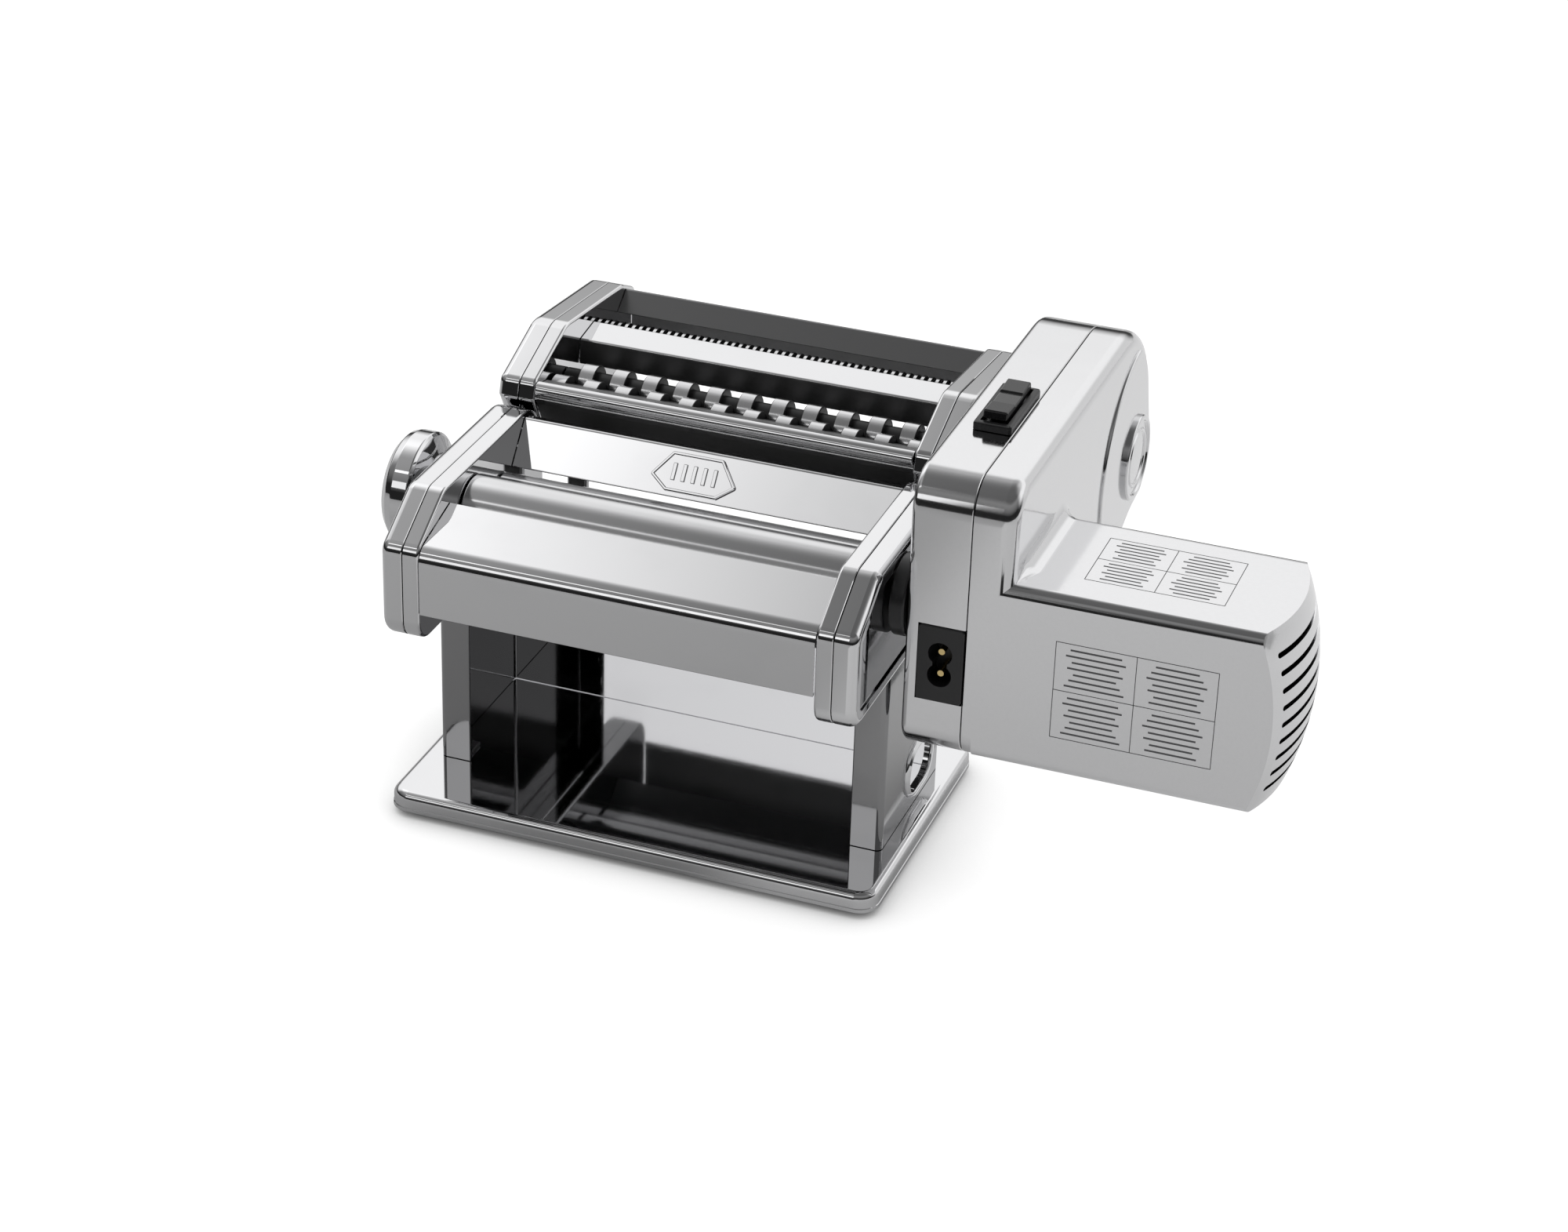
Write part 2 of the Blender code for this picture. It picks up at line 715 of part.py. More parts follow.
def travel_slot(sign, start, end, radius):
    """The slot in which a bearing block of the rear roller moves."""
    reach = NIP_OPENING + GAP
    points = []
    base_angle = math.atan2(NIP_DIRECTION[1], NIP_DIRECTION[0])
    for offset, turn in ((-GAP, math.pi / 2), (reach, -math.pi / 2)):
        centre_y = REAR_Y + NIP_DIRECTION[0] * offset
        centre_z = REAR_Z + NIP_DIRECTION[1] * offset
        for step in range(13):
            angle = base_angle + turn + math.pi * step / 12
            points.append(
                (centre_y + radius * math.cos(angle), centre_z + radius * math.sin(angle))
            )
    low, high = sorted((sign * start, sign * end))
    return flat_plate(points, "YZ", low, high)


def build_roller_housing():
    """Side plates, end caps, guard, hopper panel and ties of the roller body."""
    for side, sign in (("left", -1.0), ("right", 1.0)):
        floor_end = CHEEK_IN + CHEEK_FLOOR
        cheek = band(BODY_CORNERS, sign, CHEEK_IN, CHEEK_OUT, CHEEK_IN, floor_end, 0.0)
        bore(
            cheek, sign, CHEEK_IN - 5, floor_end + 1.0, (ROLLER_Y, ROLLER_Z),
            JOURNAL_RADIUS + GAP,
        )
        ASSEMBLY.cut(
            cheek, travel_slot(sign, CHEEK_IN - 5, floor_end + 1.0, BLOCK_RADIUS + GAP)
        )
        ASSEMBLY.add_piece(cheek, side + "_side_plate", "chrome")
        cap = band(BODY_CORNERS, sign, CAP_IN, CAP_OUT, CAP_FLOOR, CAP_OUT, CAP_EDGE)
        if side == "left":
            bore(cap, sign, CAP_IN, CAP_OUT + 5, KNOB_AT, SLEEVE_RADIUS + GAP)
        else:
            bore(
                cap, sign, CAP_IN, CAP_OUT + 5, (ROLLER_Y, ROLLER_Z),
                SPINDLE_RADIUS + RUN_GAP,
            )
        ASSEMBLY.add_piece(cap, side + "_end_cap", "chrome")
    front = BODY_FRONT + SHEET / 2
    crease_z = BODY_SHOULDER - SHEET / 2
    guard_path = ((front, GUARD_BOTTOM), (front, crease_z), (GUARD_EDGE_Y, GUARD_EDGE_Z))
    guard = sheet_strip(guard_path, -SHEET_END, SHEET_END, SHEET, 1.6)
    ASSEMBLY.add_piece(guard, "front_guard", "chrome")
    fold = (HOPPER_HIGH[0] + 3.4, HOPPER_HIGH[1] - 0.4)
    panel_path = (HOPPER_LOW, HOPPER_HIGH, fold, (fold[0] + 0.6, HOPPER_LOW[1]))
    panel = sheet_strip(panel_path, -SHEET_END, SHEET_END, SHEET, 0.8)
    ASSEMBLY.add_piece(panel, "hopper_panel", "chrome")
    build_hopper_badge()
    tie = axis_cylinder("X", -SHEET_END, SHEET_END, TIE_ROD_AT, TIE_ROD_RADIUS, 20)
    ASSEMBLY.add_piece(tie, "tie_rod", "zinc_plate")
    for side, sign in (("left", -1.0), ("right", 1.0)):
        low, high = sorted(
            (sign * (RAIL_HALF_SPAN - RAIL_WIDTH / 2), sign * (RAIL_HALF_SPAN + RAIL_WIDTH / 2))
        )
        rail = box((low, STAND_BACK + GAP, 60.0), (high, STAND_BACK + 4.0, 116.0), 0.8, 1)
        ASSEMBLY.add_piece(rail, side + "_cutter_rail", "zinc_plate")


def build_hopper_badge():
    """A plain six-sided badge that lies on the hopper panel."""
    half_width = 17.0
    half_height = 7.6
    cut_corner = 7.0
    middle_x = -4.0
    outline = (
        (-half_width + cut_corner, -half_height),
        (half_width - cut_corner, -half_height),
        (half_width, -half_height * 0.3),
        (half_width - cut_corner, half_height),
        (-half_width + cut_corner, half_height),
        (-half_width, -half_height * 0.3),
    )
    badge = flat_plate(outline, "XY", 0.0, 1.2)
    slope = math.atan2(HOPPER_HIGH[1] - HOPPER_LOW[1], HOPPER_HIGH[0] - HOPPER_LOW[0])
    middle_y = (HOPPER_LOW[0] + HOPPER_HIGH[0]) / 2
    middle_z = (HOPPER_LOW[1] + HOPPER_HIGH[1]) / 2
    lift = SHEET / 2 + GAP
    place = Vector(
        (middle_x, middle_y - math.sin(slope) * lift, middle_z + math.cos(slope) * lift)
    )
    turn = Matrix.Rotation(slope, 4, "X")
    move_mesh(badge, Matrix.Translation(place * MM) @ turn)
    ASSEMBLY.add_piece(badge, "hopper_badge", "chrome")


# -------------------------------------------------------------- main rollers
def roller_profile(left_end, right_end):
    """A roller barrel with a thinner journal at each end."""
    face = CHEEK_IN - RUN_GAP
    rim = 0.8
    return (
        (0.0, right_end),
        (JOURNAL_RADIUS, right_end),
        (JOURNAL_RADIUS, face),
        (ROLLER_RADIUS - rim, face),
        (ROLLER_RADIUS, face - rim),
        (ROLLER_RADIUS, rim - face),
        (ROLLER_RADIUS - rim, -face),
        (JOURNAL_RADIUS, -face),
        (JOURNAL_RADIUS, -left_end),
        (0.0, -left_end),
    )


def scraper(axis_y, axis_z, side):
    """A thin blade that runs from just off a roller's skin down and away."""
    angle = math.radians(-90.0) + side * SCRAPER_ANGLE
    start = ROLLER_RADIUS + RUN_GAP + SHEET / 2
    near = (axis_y + start * math.cos(angle), axis_z + start * math.sin(angle))
    lean = math.radians(-90.0) + side * math.radians(48.0)
    far = (
        near[0] + SCRAPER_LENGTH * math.cos(lean),
        near[1] + SCRAPER_LENGTH * math.sin(lean),
    )
    return sheet_strip((near, far), RUN_GAP - CHEEK_IN, CHEEK_IN - RUN_GAP, 0.8)


def build_rollers():
    """The two smooth rollers with their gears, scrapers and bearing blocks."""
    inner_end = CHEEK_IN + CHEEK_FLOOR
    front = turned(roller_profile(inner_end, CAP_OUT), (ROLLER_Y, ROLLER_Z))
    ASSEMBLY.add_piece(front, "front_roller", "roller_steel", "front_roller_turn")
    rear = turned(roller_profile(inner_end, CAP_FLOOR - 1.0), (REAR_Y, REAR_Z))
    ASSEMBLY.add_piece(rear, "rear_roller", "roller_steel", "rear_roller_turn")
    pitch = NIP_DISTANCE / 2
    end = GEAR_START + GEAR_WIDTH
    bore_radius = JOURNAL_RADIUS + GAP
    front_gear = gear(
        (ROLLER_Y, ROLLER_Z), pitch, GEAR_TEETH, GEAR_START, end, bore_radius,
        NIP_SLOPE, 0.0, GEAR_TIP, GEAR_ROOT,
    )
    ASSEMBLY.add_piece(front_gear, "front_roller_gear", "gear_steel", "front_roller_turn")
    rear_gear = gear(
        (REAR_Y, REAR_Z), pitch, GEAR_TEETH, GEAR_START, end, bore_radius,
        NIP_SLOPE + math.pi, 0.5, GEAR_TIP, GEAR_ROOT,
    )
    ASSEMBLY.add_piece(rear_gear, "rear_roller_gear", "gear_steel", "rear_roller_turn")
    ASSEMBLY.add_piece(scraper(ROLLER_Y, ROLLER_Z, -1.0), "front_scraper", "zinc_plate")
    ASSEMBLY.add_piece(
        scraper(REAR_Y, REAR_Z, 1.0), "rear_scraper", "zinc_plate", "nip_carriage"
    )
    for side, sign in (("left", -1.0), ("right", 1.0)):
        first, second = CHEEK_IN + GAP, CHEEK_IN + CHEEK_FLOOR - 0.1
        high, low = max(sign * first, sign * second), min(sign * first, sign * second)
        ring = (
            (JOURNAL_RADIUS + GAP, high),
            (BLOCK_RADIUS, high),
            (BLOCK_RADIUS, low),
            (JOURNAL_RADIUS + GAP, low),
        )
        block = turned(ring, (REAR_Y, REAR_Z), 24)
        ASSEMBLY.add_piece(block, side + "_bearing_block", "bronze", "nip_carriage")


def build_knob():
    """The thickness knob with its cam shaft, and the sleeve that it pulls out."""
    sleeve_in = CAP_IN + 2.0
    sleeve_out = KNOB_START - GAP
    sleeve = turned(
        (
            (KNOB_SHAFT_RADIUS + GAP, -sleeve_in),
            (SLEEVE_RADIUS, -sleeve_in),
            (SLEEVE_RADIUS, -sleeve_out),
            (KNOB_SHAFT_RADIUS + GAP, -sleeve_out),
        ),
        KNOB_AT,
        24,
    )
    ASSEMBLY.add_piece(sleeve, "knob_sleeve", "zinc_plate", "knob_pull")
    neck = KNOB_RADIUS - 8.0
    knob = turned(
        (
            (KNOB_SHAFT_RADIUS + GAP, -KNOB_START),
            (neck - 1.0, -KNOB_START),
            (neck, -KNOB_START - 1.0),
            (neck + 3.5, -KNOB_START - 3.2),
            (KNOB_RADIUS - 1.4, -KNOB_START - 5.2),
            (KNOB_RADIUS, -KNOB_START - 7.5),
            (KNOB_RADIUS, -KNOB_END + 4.5),
            (KNOB_RADIUS - 1.4, -KNOB_END + 2.0),
            (KNOB_RADIUS - 5.0, -KNOB_END),
            (0.0, -KNOB_END),
            (0.0, -KNOB_END + 4.0),
            (KNOB_SHAFT_RADIUS + GAP, -KNOB_END + 4.0),
        ),
        KNOB_AT,
        28,
    )
    ASSEMBLY.add_piece(knob, "thickness_knob", "chrome", "knob_turn")
    shaft_in = CHEEK_IN + CHEEK_FLOOR + 0.6
    shaft = axis_cylinder(
        "X", -KNOB_END + 4.0 + GAP, -shaft_in, KNOB_AT, KNOB_SHAFT_RADIUS, 24
    )
    cam_at = (KNOB_AT[0] - CAM_OFFSET, KNOB_AT[1])
    cam = axis_cylinder("X", -shaft_in - 3.0, -shaft_in, cam_at, CAM_RADIUS, 24)
    move_mesh(cam, Matrix.Translation((-0.05 * MM, 0.0, 0.0)))
    ASSEMBLY.cut(shaft, cam, "UNION")
    ASSEMBLY.add_piece(shaft, "knob_cam_shaft", "zinc_plate", "knob_turn")


# --------------------------------------------------------------- cutter unit
def cutter_profile(outer, inner, pitch, left_end, drive_end, shift):
    """A ringed cutter roller; shift 1 has a ring where shift 0 has a groove."""
    face = CHEEK_IN - RUN_GAP
    points = [(0.0, drive_end), (CUTTER_DRIVE_RADIUS, drive_end)]
    if drive_end > CAP_FLOOR:
        points += [(CUTTER_DRIVE_RADIUS, CHEEK_OUT), (CUTTER_JOURNAL, CHEEK_OUT)]
    else:
        points[1] = (CUTTER_JOURNAL, drive_end)
    points.append((CUTTER_JOURNAL, face))
    half = pitch / 2
    count = int((2 * face) // half)
    first_edge = count * half / 2
    side_gap = 0.15
    level = inner
    points.append((inner, face))
    for index in range(count):
        high = first_edge - index * half
        is_ring = (index + shift) % 2 == 0
        level = outer if is_ring else inner
        trim = side_gap if is_ring else -side_gap
        points.append((level, high - trim))
        points.append((level, high - half + trim))
    if level == outer:
        points.append((inner, side_gap - first_edge))
    points.append((inner, -face))
    points.append((CUTTER_JOURNAL, -face))
    points.append((CUTTER_JOURNAL, -left_end))
    points.append((0.0, -left_end))
    cleaned = [points[0]]
    for point in points[1:]:
        if point != cleaned[-1]:
            cleaned.append(point)
    return cleaned


def plain_cutter_profile(radius, left_end, drive_end):
    """A fine cutter's barrel at the middle of its narrow rings."""
    face = CHEEK_IN - RUN_GAP
    points = [(0.0, drive_end)]
    if drive_end > CAP_FLOOR:
        points += [
            (CUTTER_DRIVE_RADIUS, drive_end),
            (CUTTER_DRIVE_RADIUS, CHEEK_OUT),
            (CUTTER_JOURNAL, CHEEK_OUT),
        ]
    else:
        points.append((CUTTER_JOURNAL, drive_end))
    points += [
        (CUTTER_JOURNAL, face),
        (radius, face),
        (radius, -face),
        (CUTTER_JOURNAL, -face),
        (CUTTER_JOURNAL, -left_end),
        (0.0, -left_end),
    ]
    return points


def cutter_axes():
    """Name each cutter roller, its axis, pitch radius, body and drive end."""
    plain_end = CHEEK_IN + CHEEK_FLOOR
    wide_rear = WIDE_Y + WIDE_SPAN
    fine_rear = FINE_Y + FINE_SPAN
    return (
        ("wide_cutter_front", WIDE_Y, WIDE_SPAN / 2, "wide_front_turn", CAP_OUT - GAP, 0),
        ("wide_cutter_rear", wide_rear, WIDE_SPAN / 2, "wide_rear_turn", plain_end, 1),
        ("fine_cutter_front", FINE_Y, FINE_SPAN / 2, "fine_front_turn", plain_end, 0),
        ("fine_cutter_rear", fine_rear, FINE_SPAN / 2, "fine_rear_turn", CAP_OUT - GAP, 1),
    )


def build_cutter_sides():
    """The cutter unit's side plates and end caps, bored for the four cutters."""
    for side, sign in (("left", -1.0), ("right", 1.0)):
        floor_end = CHEEK_IN + CHEEK_FLOOR
        cheek = band(CUTTER_CORNERS, sign, CHEEK_IN, CHEEK_OUT, CHEEK_IN, floor_end, 0.0)
        cap = band(CUTTER_CORNERS, sign, CAP_IN, CAP_OUT, CAP_FLOOR, CAP_OUT, CAP_EDGE)
        for _, y, _, _, drive_end, _ in cutter_axes():
            bore(
                cheek, sign, CHEEK_IN - 5, floor_end + 1.0, (y, CUTTER_Z),
                CUTTER_JOURNAL + GAP, 12,
            )
            if sign > 0.0 and drive_end > CAP_FLOOR:
                bore(
                    cap, sign, CAP_IN, CAP_OUT + 5, (y, CUTTER_Z),
                    CUTTER_DRIVE_RADIUS + RUN_GAP, 12,
                )
        ASSEMBLY.add_piece(cheek, "cutter_%s_side_plate" % side, "chrome", "cutter_unit")
        ASSEMBLY.add_piece(cap, "cutter_%s_end_cap" % side, "chrome", "cutter_unit")


def build_cutter_sheets():
    """The cutter unit's front tube and its four bent sheet panels."""
    tube = axis_cylinder("X", -SHEET_END, SHEET_END, TUBE_AT, TUBE_RADIUS, 24)
    ASSEMBLY.add_piece(tube, "cutter_front_tube", "chrome", "cutter_unit")
    apron_path = ((91.6, 138.0), (92.4, 135.6), (101.5, 118.5))
    apron = sheet_strip(apron_path, -SHEET_END, SHEET_END, 0.8, 0.5)
    ASSEMBLY.add_piece(apron, "cutter_front_apron", "chrome", "cutter_unit")
    front_path = ((TUBE_AT[0] + 3.9, TUBE_AT[1] + 0.6), (WIDE_Y - 5.2, 140.6))
    front = sheet_strip(front_path, -SHEET_END, SHEET_END, 0.8)
    ASSEMBLY.add_piece(front, "cutter_front_panel", "satin_chrome", "cutter_unit")
    middle_path = ((133.6, 135.0), (134.5, 144.6), (148.0, 146.6), (149.6, 142.8))
    middle = sheet_strip(middle_path, -SHEET_END, SHEET_END, 0.8, 0.9)
    ASSEMBLY.add_piece(middle, "cutter_middle_panel", "chrome", "cutter_unit")
    rear_path = ((172.4, 141.0), (180.5, 147.6), (186.5, 144.6), (187.0, 114.0))
    rear = sheet_strip(rear_path, -SHEET_END, SHEET_END, 0.8, 0.9)
    ASSEMBLY.add_piece(rear, "cutter_rear_panel", "chrome", "cutter_unit")


def build_cutter_rollers():
    """Four cutter rollers, each pair joined by a pair of small gears."""
    left_end = CAP_FLOOR - 1.0
    for name, y, pitch, body, drive_end, shift in cutter_axes():
        wide = name.startswith("wide")
        if wide:
            profile = cutter_profile(
                WIDE_OUTER, WIDE_INNER, WIDE_PITCH, left_end, drive_end, shift
            )
        else:
            profile = plain_cutter_profile(
                (FINE_OUTER + FINE_INNER) / 2, left_end, drive_end
            )
        roller = turned(profile, (y, CUTTER_Z), 12)
        ASSEMBLY.add_piece(roller, name, "roller_steel", body)
        is_rear = name.endswith("rear")
        wheel = gear(
            (y, CUTTER_Z), pitch, CUTTER_GEAR_TEETH, -GEAR_START - GEAR_WIDTH,
            -GEAR_START, CUTTER_JOURNAL + GAP, math.pi if is_rear else 0.0,
            0.5 if is_rear else 0.0,
        )
        ASSEMBLY.add_piece(wheel, name.replace("cutter", "gear"), "gear_steel", body)


# ---------------------------------------------------------------- motor unit
def build_gearbox_shell():
    """The inner half of the gearbox casing, next to the roller machine."""
    shell = flat_plate(
        rounded_outline(GEARBOX_CORNERS, SHELL_ARC_STEPS), "YZ", SHELL_LEFT, SHELL_SEAM - GAP / 2
    )
    hollow = flat_plate(
        rounded_outline(inset_corners(GEARBOX_CORNERS, SHELL_WALL), SHELL_ARC_STEPS),
        "YZ",
        SHELL_LEFT + SHELL_WALL,
        SHELL_SEAM + 2.0,
    )
    ASSEMBLY.cut(shell, hollow)
    bore(
        shell, 1.0, SHELL_LEFT - 2.0, SHELL_LEFT + SHELL_WALL + 1.0,
        (ROLLER_Y, ROLLER_Z), SPINDLE_RADIUS + RUN_GAP,
    )
    notch = box(
        (INLET_LEFT - GAP, SHELL_FRONT - 3.0, INLET_LOW - GAP),
        (SHELL_SEAM + 2.0, SHELL_FRONT + SHELL_WALL + 1.0, INLET_HIGH + GAP),
    )
    ASSEMBLY.cut(shell, notch)
    ASSEMBLY.add_piece(shell, "gearbox_inner_shell", "chrome")
    collar = turned(
        (
            (SPINDLE_RADIUS + RUN_GAP, SHELL_LEFT - GAP),
            (COLLAR_RADIUS, SHELL_LEFT - GAP),
            (COLLAR_RADIUS, CAP_OUT + GAP),
            (SPINDLE_RADIUS + RUN_GAP, CAP_OUT + GAP),
        ),
        (ROLLER_Y, ROLLER_Z),
    )
    ASSEMBLY.add_piece(collar, "coupling_collar", "black_plastic")


def build_motor_housing():
    """The outer gearbox half and the motor box, cast as one hollow piece."""
    start = SHELL_SEAM + GAP / 2
    shell = flat_plate(rounded_outline(GEARBOX_CORNERS, SHELL_ARC_STEPS), "YZ", start, SHELL_RIGHT)
    motor_end = MOTOR_SEAM - GAP
    motor = flat_plate(
        rounded_outline(MOTOR_CORNERS), "YZ", SHELL_RIGHT - SHELL_WALL - 0.5, motor_end
    )
    ASSEMBLY.cut(shell, motor, "UNION")
    gear_space = flat_plate(
        rounded_outline(inset_corners(GEARBOX_CORNERS, SHELL_WALL), SHELL_ARC_STEPS),
        "YZ",
        start - 2.0,
        SHELL_RIGHT - SHELL_WALL,
    )
    ASSEMBLY.cut(shell, gear_space)
    motor_space = flat_plate(
        rounded_outline(inset_corners(MOTOR_CORNERS, SHELL_WALL + 0.3)),
        "YZ",
        SHELL_RIGHT - SHELL_WALL - 2.0,
        motor_end + 2.0,
    )
    ASSEMBLY.cut(shell, motor_space)
    ASSEMBLY.add_piece(shell, "motor_housing", "satin_chrome")


def bulge_body(shrink):
    """The egg shape that gives the motor's end its double curve."""
    bm = bmesh.new()
    bmesh.ops.create_uvsphere(bm, u_segments=24, v_segments=16, radius=1.0)
    bmesh.ops.rotate(
        bm, cent=(0, 0, 0), matrix=Matrix.Rotation(math.radians(90.0), 3, "Y"), verts=bm.verts
    )
    radii = [radius - shrink for radius in MOTOR_BULGE]
    bmesh.ops.scale(bm, vec=radii, verts=bm.verts)
    centre = (
        MOTOR_TIP - MOTOR_BULGE[0],
        (SHELL_FRONT + MOTOR_BACK) / 2,
        (MOTOR_TOP + MOTOR_BOTTOM) / 2,
    )
    bmesh.ops.translate(bm, vec=centre, verts=bm.verts)
    return mesh_object(bm)


def build_motor_end():
    """The curved end cap of the motor box with its cooling slots."""
    cap = flat_plate(rounded_outline(MOTOR_CORNERS), "YZ", MOTOR_SEAM, MOTOR_TIP + 2.0)
    ASSEMBLY.cut(cap, bulge_body(0.0), "INTERSECT")
    hollow = flat_plate(
        rounded_outline(inset_corners(MOTOR_CORNERS, SHELL_WALL + 0.3)),
        "YZ",
        MOTOR_SEAM - 2.0,
        MOTOR_TIP + 1.0,
    )
    ASSEMBLY.cut(hollow, bulge_body(SHELL_WALL), "INTERSECT")
    ASSEMBLY.cut(cap, hollow)
    middle = (MOTOR_TOP + MOTOR_BOTTOM) / 2
    for index in range(VENT_COUNT):
        z = middle + (index - (VENT_COUNT - 1) / 2) * VENT_PITCH
        inset = 5.5
        slot = box(
            (MOTOR_SEAM + 8.0, SHELL_FRONT + inset, z - VENT_HEIGHT / 2),
            (MOTOR_TIP + 3.0, MOTOR_BACK - inset, z + VENT_HEIGHT / 2),
        )
        ASSEMBLY.cut(cap, slot)
    ASSEMBLY.add_piece(cap, "motor_end_cap", "satin_chrome")


def build_gear_train():
    """The output spindle, the stepped idler and the motor's rotor and can."""
    spindle = axis_cylinder(
        "X", CAP_OUT + GAP, TRAIN_FIRST + TRAIN_WIDTH, (ROLLER_Y, ROLLER_Z), SPINDLE_RADIUS, 24
    )
    lead = math.atan2(IDLER_AT[1] - ROLLER_Z, IDLER_AT[0] - ROLLER_Y)
    wheel = gear(
        (ROLLER_Y, ROLLER_Z), OUTPUT_PITCH, 12, TRAIN_FIRST, TRAIN_FIRST + TRAIN_WIDTH - 0.1,
        0.0, lead, 0.0, 0.7, 0.95,
    )
    ASSEMBLY.cut(spindle, wheel, "UNION")
    ASSEMBLY.add_piece(spindle, "output_spindle", "gear_steel", "output_turn")
    shaft = axis_cylinder(
        "X", SHELL_LEFT + SHELL_WALL + GAP, SHELL_RIGHT - SHELL_WALL - GAP, IDLER_AT, 2.5, 20
    )
    small = gear(
        IDLER_AT, IDLER_SMALL, 10, TRAIN_FIRST, TRAIN_SECOND + 1.0,
        0.0, lead + math.pi, 0.5, 0.7, 0.95,
    )
    toward = math.atan2(MOTOR_AXIS[1] - IDLER_AT[1], MOTOR_AXIS[0] - IDLER_AT[0])
    large = gear(
        IDLER_AT, IDLER_LARGE, 34, TRAIN_SECOND, TRAIN_SECOND + TRAIN_WIDTH,
        0.0, toward, 0.0, 0.7, 0.95,
    )
    ASSEMBLY.cut(shaft, small, "UNION")
    ASSEMBLY.cut(shaft, large, "UNION")
    ASSEMBLY.add_piece(shaft, "idler_gear", "gear_steel", "idler_turn")
    rotor = turned(
        (
            (0.0, CAN_END - 6.0),
            (2.5, CAN_END - 6.0),
            (2.5, CAN_END - 14.0),
            (ROTOR_RADIUS, CAN_END - 14.0),
            (ROTOR_RADIUS, CAN_START + 12.0),
            (2.5, CAN_START + 12.0),
            (2.5, TRAIN_SECOND - 0.5),
            (0.0, TRAIN_SECOND - 0.5),
        ),
        MOTOR_AXIS,
        24,
    )
    pinion = gear(
        MOTOR_AXIS, PINION_PITCH, 9, TRAIN_SECOND, TRAIN_SECOND + TRAIN_WIDTH,
        0.0, toward + math.pi, 0.5, 0.7, 0.95,
    )
    ASSEMBLY.cut(rotor, pinion, "UNION")
    ASSEMBLY.add_piece(rotor, "motor_rotor", "gear_steel", "motor_turn")
    can = turned(
        (
            (CAN_RADIUS - WALL, CAN_END),
            (CAN_RADIUS, CAN_END),
            (CAN_RADIUS, CAN_START),
            (SPINDLE_RADIUS, CAN_START),
            (SPINDLE_RADIUS, CAN_START + 2.0),
            (CAN_RADIUS - WALL, CAN_START + 2.0),
        ),
        MOTOR_AXIS,
        24,
    )
    ASSEMBLY.add_piece(can, "motor_can", "zinc_plate")


def inlet_outline(middle_x, middle_z):
    """The inlet's figure-of-eight outline: two lobes that meet in a waist."""
    reach = INLET_PIN_SPAN / 2
    corner = math.acos(min(0.9, 0.82 * reach / INLET_LOBE))
    points = []
    for sign in (1.0, -1.0):
        for step in range(11):
            angle = -math.pi + corner + 2 * (math.pi - corner) * step / 10
            points.append(
                (
                    middle_x + sign * INLET_LOBE * math.sin(angle),
                    middle_z + sign * (reach + INLET_LOBE * math.cos(angle)),
                )
            )
    return points


def build_inlet():
    """The two-pin mains inlet in the front of the gearbox."""
    right = SHELL_SEAM - GAP
    front = SHELL_FRONT - INLET_PROUD
    flange_back = SHELL_FRONT + 1.6
    socket = box((INLET_LEFT, front, INLET_LOW), (right, flange_back, INLET_HIGH))
    middle_x = (INLET_LEFT + right) / 2
    middle_z = (INLET_LOW + INLET_HIGH) / 2
    half_height = INLET_PIN_SPAN / 2 + INLET_LOBE + 1.0
    half_width = INLET_LOBE + 1.0
    back = front + INLET_DEPTH
    tub = box(
        (middle_x - half_width, flange_back - 0.5, middle_z - half_height),
        (middle_x + half_width, back, middle_z + half_height),
    )
    ASSEMBLY.cut(socket, tub, "UNION")
    recess = flat_plate(
        inlet_outline(middle_x, middle_z), "XZ", front - 2.0, back - 1.6
    )
    ASSEMBLY.cut(socket, recess)
    for sign in (-1.0, 1.0):
        centre = (middle_x, middle_z + sign * INLET_PIN_SPAN / 2)
        hole = axis_cylinder("Y", front, back + 1.0, centre, INLET_PIN_RADIUS + GAP, 12)
        ASSEMBLY.cut(socket, hole)
    ASSEMBLY.add_piece(socket, "inlet_socket", "black_plastic")
    for place, sign in (("lower", -1.0), ("upper", 1.0)):
        centre = (middle_x, middle_z + sign * INLET_PIN_SPAN / 2)
        pin = axis_cylinder("Y", front + 2.0, back - 0.1, centre, INLET_PIN_RADIUS, 16)
        ASSEMBLY.add_piece(pin, "inlet_pin_" + place, "brass_pin")


def build_switch():
    """The black switch frame on top of the gearbox and the rocker in it."""
    bottom = SHELL_TOP + GAP
    top = bottom + SWITCH_HEIGHT
    bezel = box((SWITCH_LEFT, SWITCH_FRONT, bottom), (SWITCH_RIGHT, SWITCH_BACK, top), 0.6, 1)
    window = box(
        (SWITCH_LEFT + SWITCH_RIM, SWITCH_FRONT + SWITCH_RIM, bottom + 0.7),
        (SWITCH_RIGHT - SWITCH_RIM, SWITCH_BACK - SWITCH_RIM, top + 2.0),
    )
    ASSEMBLY.cut(bezel, window)
    ASSEMBLY.add_piece(bezel, "switch_bezel", "black_plastic")
    middle = (SWITCH_FRONT + SWITCH_BACK) / 2
    half = (SWITCH_BACK - SWITCH_FRONT) / 2 - SWITCH_RIM - 0.6
    outline = rounded_outline(
        (
            (middle - half, top + 0.6, 0.0),
            (middle - half + 0.8, top + 3.6, 0.8),
            (middle, top + 2.6, 8.0),
            (middle + half - 0.8, top + 3.6, 0.8),
            (middle + half, top + 0.6, 0.0),
            (middle, top - 1.9, 4.0),
        ),
        3,
    )
    rocker = flat_plate(
        outline, "YZ", SWITCH_LEFT + SWITCH_RIM + RUN_GAP, SWITCH_RIGHT - SWITCH_RIM - RUN_GAP
    )
    ASSEMBLY.add_piece(rocker, "switch_rocker", "black_plastic", "switch_rock")


